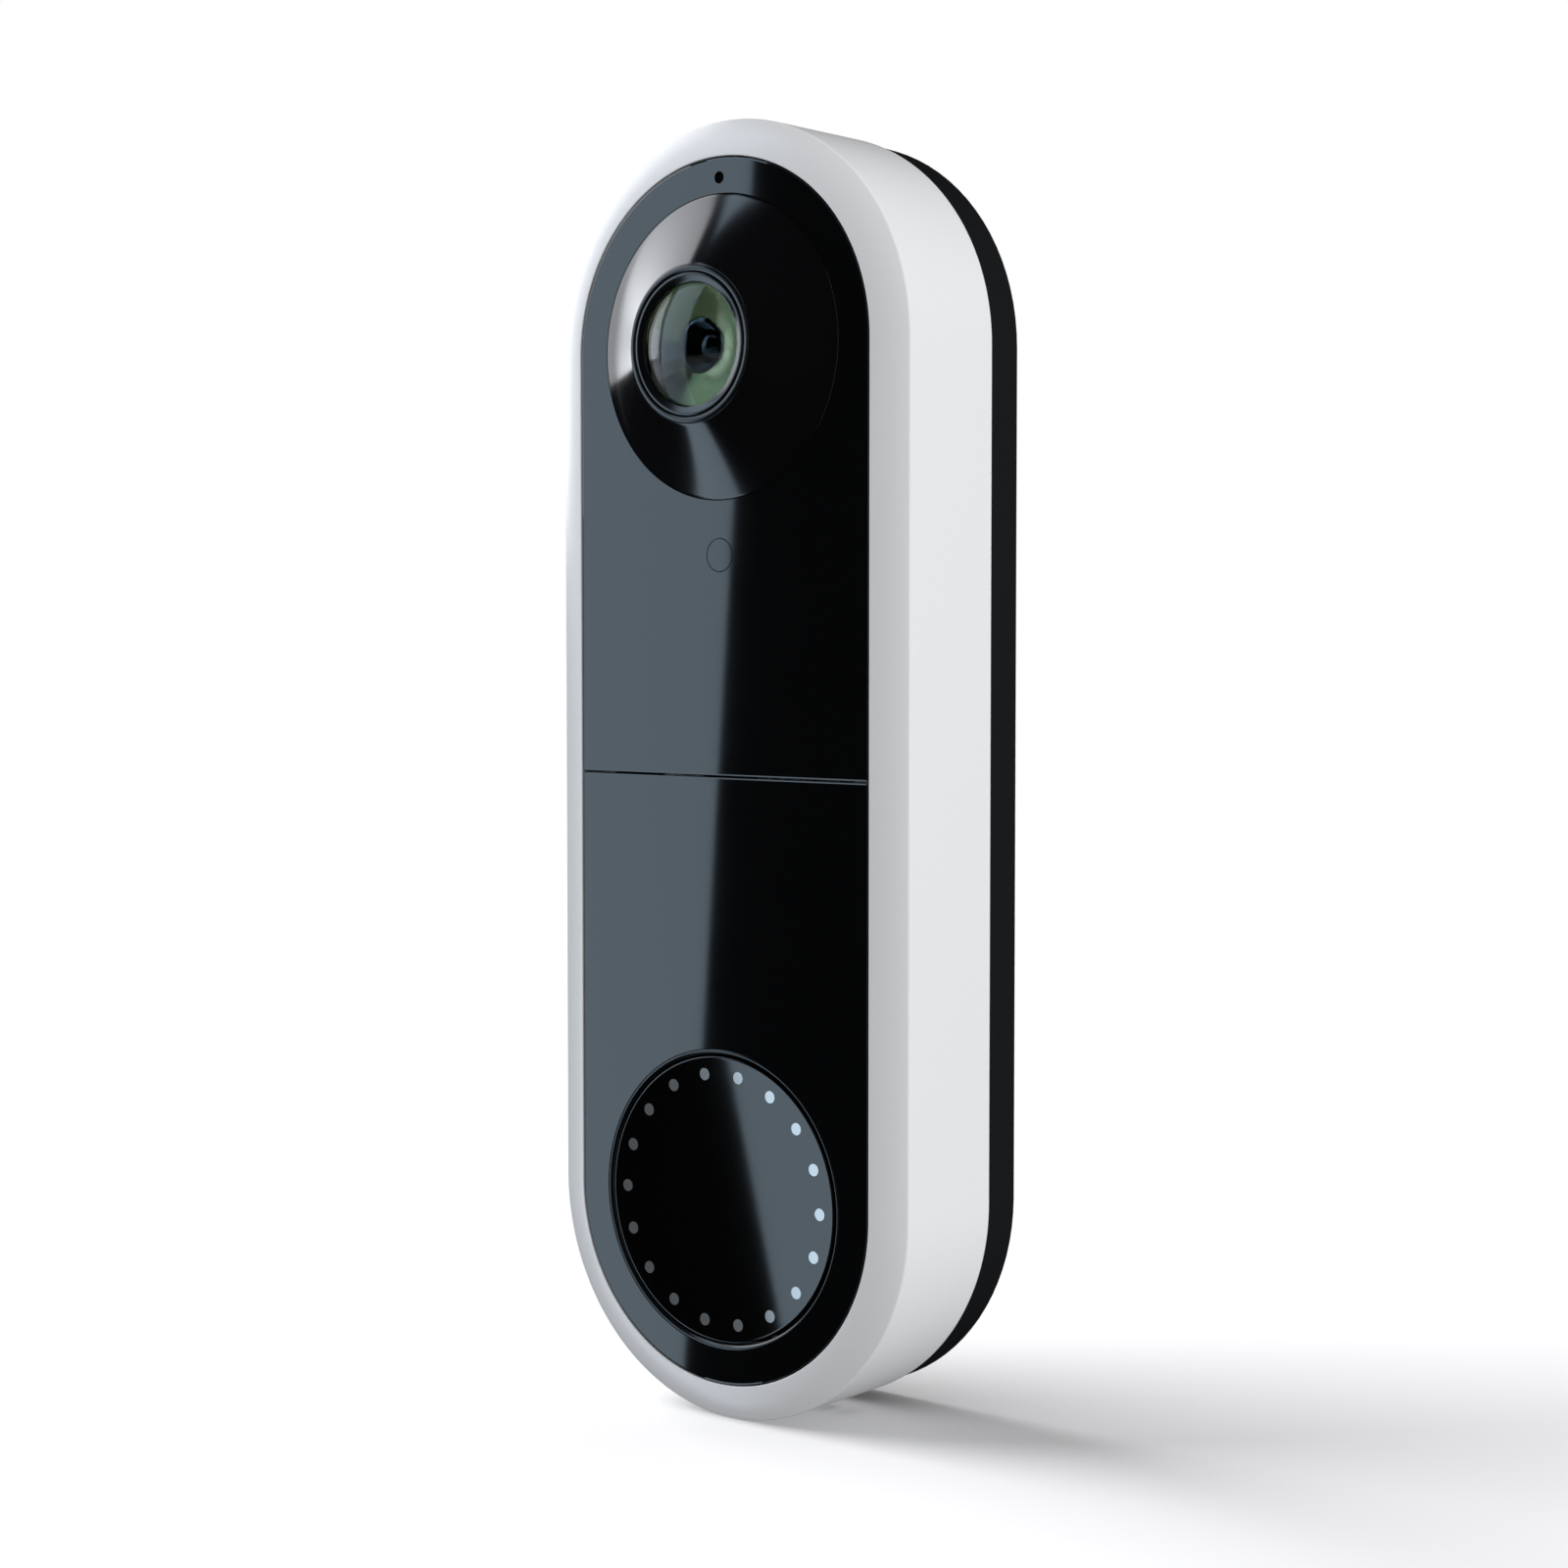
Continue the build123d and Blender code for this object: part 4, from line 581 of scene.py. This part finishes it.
second_dome = dome(bowl_edge - hairline, 0.35, bowl_face[-1, 1] - 0.1)
mouth = 2.3
mouth_depth = np.interp(mouth, second_dome[:, 0], second_dome[:, 1])
first_drop, ring_drop, ring_tread, ring_count = 0.2, 0.25, 0.12, 5
stair = [(mouth, mouth_depth)]
for step in range(ring_count):
    level = mouth_depth - ring_drop * step - first_drop
    stair += [(mouth - ring_tread * step, level), (mouth - ring_tread * (step + 1), level)]
second_back = stair[-1][1] - 0.3
second = turned("second_element", np.concatenate([
    second_dome[second_dome[:, 0] > mouth][::-1], stair, [(stair[-1][0], second_back),
    (bowl_edge - hairline, second_back)],
]), camera_z, columns=192, sharp=20)
wear(second, inner_glass)
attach(second, "doorbell")
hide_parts("second_lens", "lens_spacers")

pupil_radius = stair[-1][0] - 0.02
pupil_face = dome(pupil_radius, 0.55, second_back + 0.1)
pupil = turned("pupil_element", np.concatenate([
    pupil_face, [(pupil_radius, second_back), (0.0, second_back)]]), camera_z, closed=False, columns=128, sharp=30)
wear(pupil, inner_glass)
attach(pupil, "doorbell")
print("glass dome stands", round(lens_front - glass_seat, 2), "mm above its seat")

# %% [markdown]
# ## Button finishes
#
# The cap has the mirror polish of the face. The pips are clear acrylic in front of a bright guide ring, so
# they read as small grey mirrors: the high index of refraction stands in for the guide's backing.

# %% Cap and pip finishes
button_black = finish_material("gloss_black_button", "#050505", 0.025, grain_depth=0.0, rough_spread=0.004)
pip_grey = finish_material("silvered_acrylic_pip", "#6C6E70", 0.06, grain_depth=0.0, rough_spread=0.01, IOR=3.2)
print("button finishes:", button_black.name, pip_grey.name)

# %% [markdown]
# ## The call button
#
# The cap is dished by a quarter of a millimetre, which is enough to turn reflections round against the flat
# panel beside it. Eighteen small windows are cut through it near the edge. The dished face with its windows
# is one exact grid: each window has its own patch that opens from a circle to its share of the ring, so the
# gloss stays unbroken. Behind the face, a skirt with a flange keeps the cap in its opening and a stem meets
# the switch's plunger.

# %% Dished cap with windows
cap_radius = 14.42
cap_edge = -edge("call_button_cap", 0, 1)
cap_back = cap_edge - 1.4
stem_foot = -edge("call_button_cap", 1, 1)
stem_radius = 2.2
skirt_foot = deck_back - 1.1
skirt_inner = cap_radius - 1.05
flange_front = deck_back - 0.05
flange_radius = cap_radius + 0.66
dish = 0.26
pip_circle = 12.65
pip_count = 18
window_radius = 0.65
band_half = 1.05
per_side = 8


def dish_depth(r):
    """Depth of the dished face at radius r: the edge depth less a parabola that is `dish` deep at the centre."""
    return cap_edge - dish * (1 - (r / cap_radius) ** 2)


def window_band():
    """The ring band that holds the windows: x, z and faces, points round a window, points in a patch.

    Each window owns a sector of the band. Its border runs inner arc, right side, outer arc, left side in
    polar steps, its hole is a circle with as many points, and rows between blend one into the other.
    """
    s = np.linspace(-1, 1, per_side, endpoint=False)
    one = np.ones(per_side)
    radial = np.concatenate([-one, s, one, -s]) * band_half
    around = np.concatenate([s, one, -s, -one]) * (np.pi / pip_count)
    border = np.stack([(pip_circle + radial) * np.sin(around), (pip_circle + radial) * np.cos(around)], 1)
    centre = np.array([0, pip_circle])
    heading = np.arctan2(border[:, 0] - centre[0], border[:, 1] - centre[1])
    circle = centre + window_radius * np.stack([np.sin(heading), np.cos(heading)], 1)
    blend = np.linspace(0, 1, 6)[:, None, None]
    patch = (1 - blend) * circle + blend * border
    turn = (np.arange(pip_count) * 2 + 1) * np.pi / pip_count
    c, s_turn = np.cos(turn)[:, None, None], np.sin(turn)[:, None, None]
    x = patch[None, ..., 0] * c + patch[None, ..., 1] * s_turn
    z = patch[None, ..., 1] * c - patch[None, ..., 0] * s_turn
    faces = []
    size = patch.shape[0] * patch.shape[1]
    for index in range(pip_count):
        faces += grid_faces(patch.shape[0], patch.shape[1], first=index * size)
    return x.reshape(-1), z.reshape(-1), faces, patch.shape[1], size


x, z, faces, border_count, patch_size = window_band()
band = np.stack([x, -dish_depth(np.hypot(x, z)), button_z + z], 1)
walls = []
for index in range(pip_count):
    rim = band[index * patch_size:index * patch_size + border_count]
    inside = rim.copy()
    inside[:, 1] = -cap_back
    start = len(band) + 2 * border_count * index
    faces += grid_faces(2, border_count, first=start)
    walls.append(np.concatenate([rim, inside]))
points = np.concatenate([band] + walls)

ring_columns = per_side * pip_count
angle = np.arange(ring_columns) * 2 * np.pi / ring_columns
inner_r = np.linspace(0.0, pip_circle - band_half, 30)
outer_r = np.linspace(pip_circle + band_half, cap_radius - 0.16, 6)
lip = rounded(
    [(cap_radius - 0.17, cap_edge), (cap_radius, cap_edge), (cap_radius, cap_edge - 0.4)], [0, 0.13, 0],
    steps=6, closed=False)
outer_rows = np.concatenate([
    np.stack([outer_r, dish_depth(outer_r)], 1),
    lip[1:],
    [(cap_radius, flange_front), (flange_radius, flange_front), (flange_radius, skirt_foot),
     (skirt_inner, skirt_foot), (skirt_inner, cap_back), (stem_radius, cap_back), (stem_radius, stem_foot),
     (0.0, stem_foot)],
])
for rows in (np.stack([inner_r, dish_depth(inner_r)], 1), outer_rows):
    block = np.stack(np.broadcast_arrays(
        rows[:, :1] * np.sin(angle), -rows[:, 1:], button_z + rows[:, :1] * np.cos(angle)), -1)
    faces += grid_faces(len(rows), ring_columns, first=len(points))
    points = np.concatenate([points, block.reshape(-1, 3)])
cap = mesh_piece("button_cap", points, faces)
facing_out(cap)
cap.data.shade_smooth()
cap.data.set_sharp_from_angle(angle=radians(25))
wear(cap, button_black)
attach(cap, "call_button")
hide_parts("call_button_cap")
print("button cap:", len(cap.data.polygons), "faces")

# %% [markdown]
# ## The lights in the button
#
# One moulded ring guides light round the back of the cap, and a round pip rises from it into each window.
# The pips' faces follow the dish, so that they lie flush in the gloss.

# %% Light pips and their ring
pip_radius = 0.62
guide_outer, guide_inner = 13.3, pip_circle - 1.42
guide_back = -edge("light_guide_ring", 1, 1)
guide = turned("light_guide", [
    (guide_outer, guide_back), (guide_outer, cap_back), (guide_inner, cap_back), (guide_inner, guide_back),
], button_z, columns=180)
turn = np.linspace(0, 2 * np.pi, 40, endpoint=False)
places = (np.arange(pip_count) * 2 + 1) * np.pi / pip_count
rows = np.array([0.0, 0.35, 0.7, 1.0, 1.0])[:, None] * pip_radius
drop = np.array([0, 0, 0, 0, cap_edge - cap_back])[:, None]
across_x, across_z = rows * np.cos(turn), rows * np.sin(turn)
pip_x = across_x[None] + (pip_circle * np.sin(places))[:, None, None]
pip_z = across_z[None] + (pip_circle * np.cos(places))[:, None, None]
pip_depth = dish_depth(np.hypot(pip_x, pip_z)) - drop[None]
pip_points = np.stack([pip_x, -pip_depth, button_z + pip_z], -1).reshape(-1, 3)
pip_faces = []
for index in range(pip_count):
    pip_faces += grid_faces(len(rows), len(turn), first=index * rows.size * len(turn))
pips = facing_out(mesh_piece("light_pips", pip_points, pip_faces, sharp=30))
for piece in (guide, pips):
    wear(piece, pip_grey)
    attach(piece, "call_button")
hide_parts("light_guide_ring")
print(pip_count, "pips of radius", pip_radius, "mm on a circle of radius", pip_circle, "mm")

# %% [markdown]
# ## The trim ring round the button
#
# A narrow satin ring lines the opening. Its inner half slopes down towards the cap, which draws the thin
# light line that sets the button off from the panel.

# %% Trim ring round the button
trim_width = 0.52
trim_slope = 0.22
button_trim_front = -edge("button_trim_ring", 0, 1)
button_trim_inner = trim_radius - trim_width
button_trim = turned("button_trim", rounded([
    (button_trim_inner, deck_front), (trim_radius, deck_front), (trim_radius, button_trim_front),
    (trim_radius - trim_width / 2, button_trim_front), (button_trim_inner, button_trim_front - trim_slope),
], [0, 0, 0.12, 0.06, 0.06]), button_z, columns=256, sharp=30)
wear(button_trim, ring_black)
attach(button_trim, "doorbell")
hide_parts("button_trim_ring")
print("button trim:", len(button_trim.data.polygons), "faces")

# %% [markdown]
# ## The latch spring
#
# A spring is a wire carried along a helix. It gets shorter as the latch lifts; here it is made at the length of the
# engineering spring's box. Zinc plating gives the wire a bright, slightly cloudy shine.

# %% Latch spring
steel = finish_material("zinc_plated_steel", "#B9BCC0", 0.33, grain_mm=0.1, grain_depth=0.001, Metallic=1.0)
spring_low, spring_high = [np.array(c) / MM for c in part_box("latch_spring")]
wire = 0.2
coil_radius = (spring_high[0] - spring_low[0]) / 2 - wire
turns = 6
t = np.linspace(0, 1, turns * 32)[:, None]
around = np.linspace(0, 2 * np.pi, 12, endpoint=False)
swing = 2 * np.pi * turns * t
axis_y = (spring_high[1] + spring_low[1]) / 2
reach = coil_radius + wire * np.cos(around)
rise = spring_low[2] + wire + t * (spring_high[2] - spring_low[2] - 2 * wire) + wire * np.sin(around)
helix = np.stack([reach * np.cos(swing), axis_y + reach * np.sin(swing), rise], -1)
spring_faces = grid_faces(len(t), len(around)) + end_caps(len(around), (len(t) - 1) * len(around))
spring = facing_out(mesh_piece("latch_coil_spring", helix.reshape(-1, 3), spring_faces))
wear(spring, steel)
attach(spring, "doorbell")
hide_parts("latch_spring")
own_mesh(spring)

# %% [markdown]
# ## Finishes for the parts that keep their engineering shape
#
# The mounting plate shows, the rest is inside. Spark erosion leaves the plate's mould with a fine even grain,
# so the plate has no mirror, only a sheen. Rubber and cone paper scatter light most, the solder mask drifts in
# tone where copper lies under it, and the metals differ by colour and by how finely they are worked.

# %% Finishes of the inner parts
plate_black = finish_material("spark_grained_black_plastic", "#1B1C1E", 0.38, grain_mm=0.18, grain_depth=0.004)
inner_black = finish_material("moulded_black_nylon", "#1A1A1B", 0.5, grain_mm=0.15, grain_depth=0.003)
rubber = finish_material("matt_black_rubber", "#141414", 0.7, grain_mm=0.2, grain_depth=0.004)
silicone = finish_material("milky_silicone", "#C9CBCB", 0.45, grain_mm=0.3, grain_depth=0.003)
board_green = finish_material("green_solder_mask", "#14512F", 0.33, grain_mm=0.5, grain_depth=0.004, tint=0.25)
brass = finish_material("turned_brass", "#C9A659", 0.22, grain_mm=0.15, grain_depth=0.002, Metallic=1.0)
copper = finish_material("enamelled_copper_wire", "#B4693A", 0.35, grain_mm=0.12, grain_depth=0.01, Metallic=1.0)
nickel = finish_material("nickel_plated_magnet", "#C3C4C6", 0.18, grain_mm=0.2, grain_depth=0.001, Metallic=1.0)
can_silver = finish_material("drawn_aluminium_can", "#C8CACC", 0.33, grain_mm=0.2, grain_depth=0.002, Metallic=1.0)
chip_black = finish_material("moulded_epoxy_chip", "#202124", 0.45, grain_mm=0.1, grain_depth=0.003)
amber = finish_material("amber_polyimide_film", "#B8752A", 0.22, grain_mm=0.6, grain_depth=0.002)
ivory = finish_material("ivory_connector_nylon", "#D9D2BE", 0.4, grain_mm=0.2, grain_depth=0.002)
led_yellow = finish_material("led_phosphor", "#EFE7B4", 0.35, grain_mm=0.2, grain_depth=0.002)
filter_blue = glass_material("blue_filter_glass", "#BFE6F2", 1.5)
paper = finish_material("coated_cone_paper", "#26272A", 0.75, grain_mm=0.25, grain_depth=0.008)
print("finishes so far:", len(bpy.data.materials))

# %% [markdown]
# ## Dressing the engineering parts
#
# These parts are right as they are. Two modifiers make their triangles read as smooth surfaces: Weld joins
# the loose corners, and Edge Split keeps the real edges crisp.

# %% Dress the engineering parts
dressing = {
    plate_black: ["mounting_plate", "back_cover"],
    inner_black: ["lens_holder", "filter_frame", "switch_plunger", "speaker_frame", "release_latch"],
    barrel_black: ["lens_barrel", "aperture_stop"],
    rubber: ["lens_seal", "light_shield", "microphone_boot", "speaker_gasket", "back_gasket"],
    silicone: ["button_seal"],
    board_green: ["infrared_board", "camera_board", "button_board", "main_board"],
    brass: ["terminal_posts", "wifi_antenna"],
    copper: ["filter_coil"],
    nickel: ["filter_magnet", "speaker_magnet"],
    can_silver: ["microphone", "processor_shield", "capacitors"],
    chip_black: ["image_sensor", "light_sensor", "power_inductor"],
    amber: ["camera_flex", "button_flex"],
    ivory: ["board_connectors"],
    led_yellow: ["infrared_leds", "button_leds"],
    filter_blue: ["day_filter_glass"],
    front_glass: ["night_clear_glass", "third_lens"],
    steel: ["holder_screws", "switch_body", "speaker_mesh", "cover_screws", "board_screws", "terminal_screws"],
    paper: ["speaker_cone"],
}
for material, nodes in dressing.items():
    for name in nodes:
        part = wear(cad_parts[name], material)
        part.data.polygons.foreach_set("use_smooth", np.ones(len(part.data.polygons), bool))
        weld = part.modifiers.new("join_corners", "WELD")
        weld.merge_threshold = 0.001 * MM
        split = part.modifiers.new("keep_edges", "EDGE_SPLIT")
        split.split_angle = radians(30)
print("dressed", sum(len(nodes) for nodes in dressing.values()), "engineering parts")

# %% [markdown]
# ## Floor
#
# The doorbell stands on white paper. The paper only receives light and shadow: it is not mirrored in the
# gloss and throws no light back up, so the face and the shell are lit by the cards alone. A trace of its own
# light keeps it white right up to the horizon.

# %% Floor
floor_z = cad_low.z
floor_mesh = bpy.data.meshes.new("floor")
reach = 4.0
floor_mesh.from_pydata(
    [(-reach, -reach, floor_z), (reach, -reach, floor_z), (reach, reach, floor_z), (-reach, reach, floor_z)],
    [], [(0, 1, 2, 3)])
floor = bpy.data.objects.new("floor", floor_mesh)
bpy.context.scene.collection.objects.link(floor)
paper_white = finish_material(
    "white_paper_sweep", "#F0F0F2", 0.9, grain_depth=0.0, tint=0.0,
    Specular_IOR_Level=0.0, Emission_Color=(1.0, 1.0, 1.0, 1.0), Emission_Strength=0.06)
wear(floor, paper_white)
floor.visible_glossy = False
floor.visible_diffuse = False
floor.visible_shadow = False
print("floor at height", round(floor_z / MM, 2), "mm")

# %% [markdown]
# ## Cards and fills
#
# Gloss and matt parts are lit apart. The cards are mirrored in the gloss only. A strip card, tall, wide and
# three metres away, gives the blue-grey reflection that ends in one clean edge down the face: the distance
# keeps that edge straight from top to bottom. A softbox up at the left whitens the cone's upper left, a small
# card lights the lens alone, and a narrow card at the right draws the right edges. The fills are seen by matt
# surfaces only: one whitens the side wall, one the rim, one the top. They leave the floor alone, where a broad
# sun makes the one soft shadow.

# %% Lights


def card(name, azimuth, elevation, distance, size, radiance, colour="#FFFFFF", roll=0.0, lift=0.0, mirror=True):
    """Rectangular light that faces the object, made either to be mirrored in the gloss or to fill the matt parts.

    Azimuth runs from straight in front towards the left, elevation up from the floor. Power is radiance times
    pi times area, so the radiance is what a mirror would show of it. Lift slides the card up its own plane.
    """
    light = bpy.data.lights.new(name, "AREA")
    light.shape = "RECTANGLE"
    light.size, light.size_y = size[0] * MM, size[1] * MM
    light.energy = radiance * np.pi * light.size * light.size_y
    light.color = linear(colour)[:3]
    lamp = bpy.data.objects.new(name, light)
    a, e = radians(azimuth), radians(elevation)
    away = Vector((-sin(a) * cos(e), -cos(a) * cos(e), sin(e)))
    aim = (-away).to_track_quat("-Z", "Y") @ Quaternion((0, 0, 1), radians(roll))
    lamp.rotation_mode = "QUATERNION"
    lamp.rotation_quaternion = aim
    lamp.location = (away * distance + aim @ Vector((0, lift, 0))) * MM
    lamp.visible_glossy = mirror
    lamp.visible_diffuse = not mirror
    bpy.context.scene.collection.objects.link(lamp)
    return lamp


strip_card = card("strip_card", 52.22, 0, 3000, (1270, 7500), 2.75, "#D3ECFF", roll=-3.4)
left_softbox = card("left_softbox", 92, 0, 560, (560, 640), 3.6, "#F7FAFF", lift=365)
lens_card = card("lens_card", 75, -5, 560, (220, 420), 0.9, "#F7FAFF")
right_edge_card = card("right_edge_card", -52, 0, 700, (150, 1400), 1.1)
fills = [
    card("right_fill", -100, 12, 700, (700, 900), 2.1, mirror=False),
    card("left_fill", 68, 12, 700, (700, 700), 1.6, "#EAF3FF", mirror=False),
    card("top_fill", 0, 55, 800, (600, 600), 0.9, mirror=False),
]

sun = bpy.data.lights.new("floor_wash", "SUN")
sun.energy = 4.4
sun.angle = radians(60)
wash = bpy.data.objects.new("floor_wash", sun)
wash.rotation_mode = "QUATERNION"
wash.rotation_quaternion = Vector((1.3, 0.35, -0.9)).to_track_quat("-Z", "Y")
wash.visible_glossy = False
bpy.context.scene.collection.objects.link(wash)


def lit_pieces(name, pieces):
    """Collection that tells a light which pieces it reaches."""
    group = bpy.data.collections.new(name)
    for piece in pieces:
        group.objects.link(piece)
    return group


wash.light_linking.receiver_collection = lit_pieces("floor_only", [floor])
lens_card.light_linking.receiver_collection = lit_pieces("lens_only", [front, bowl, second, pupil])
not_floor = lit_pieces("all_but_floor", [floor])
not_floor.collection_objects[0].light_linking.link_state = "EXCLUDE"
for fill in fills:
    fill.light_linking.receiver_collection = not_floor
print("cards:", [lamp.name for lamp in (strip_card, left_softbox, lens_card, right_edge_card)])

# %% [markdown]
# ## Surroundings
#
# The room is three things at once. The camera sees white paper, matt surfaces feel an even weak light from
# all round, and the gloss mirrors near-black, so that only the cards show in it.

# %% World
world = bpy.data.worlds.new("studio")
bpy.context.scene.world = world
world.use_nodes = True
world.node_tree.nodes.clear()
white = (1, 1, 1, 1)
path = add(world, "ShaderNodeLightPath")
seen = add(world, "ShaderNodeBackground", {"Color": white})
felt = add(world, "ShaderNodeBackground", {"Color": white, "Strength": 0.38})
mirrored = add(world, "ShaderNodeBackground", {"Color": (0.004, 0.004, 0.005, 1)})
unseen = add(world, "ShaderNodeMixShader", {
    "Fac": path.outputs["Is Glossy Ray"], 1: felt.outputs[0], 2: mirrored.outputs[0]})
room = add(world, "ShaderNodeMixShader", {
    "Fac": path.outputs["Is Camera Ray"], 1: unseen.outputs[0], 2: seen.outputs[0]})
add(world, "ShaderNodeOutputWorld", {"Surface": room.outputs[0]})
print("world nodes:", len(world.node_tree.nodes))

# %% [markdown]
# ## Camera
#
# The camera stands 300 mm from the doorbell, to the right of it and a little above its middle, and looks
# just in front of the face. At that distance the near edges are clearly larger than the far ones.

# %% Camera
azimuth, elevation = radians(39.43), radians(3.007)
before_face = 2.12
target = Vector((10.03, -(panel_depth + before_face), -0.32)) * MM
distance = 300.0 * MM
back = Vector((sin(azimuth) * cos(elevation), -cos(azimuth) * cos(elevation), sin(elevation)))
camera_data = bpy.data.cameras.new("camera")
camera_data.lens = 71.007
camera_data.sensor_width = 36.0
camera_data.clip_start = 0.01
camera = bpy.data.objects.new("camera", camera_data)
camera.location = target + back * distance
camera.rotation_mode = "QUATERNION"
camera.rotation_quaternion = (-back).to_track_quat("-Z", "Y")
bpy.context.scene.collection.objects.link(camera)
bpy.context.scene.camera = camera
bpy.context.scene.view_settings.view_transform = "Standard"
print("camera at", [round(v / MM, 1) for v in camera.location])
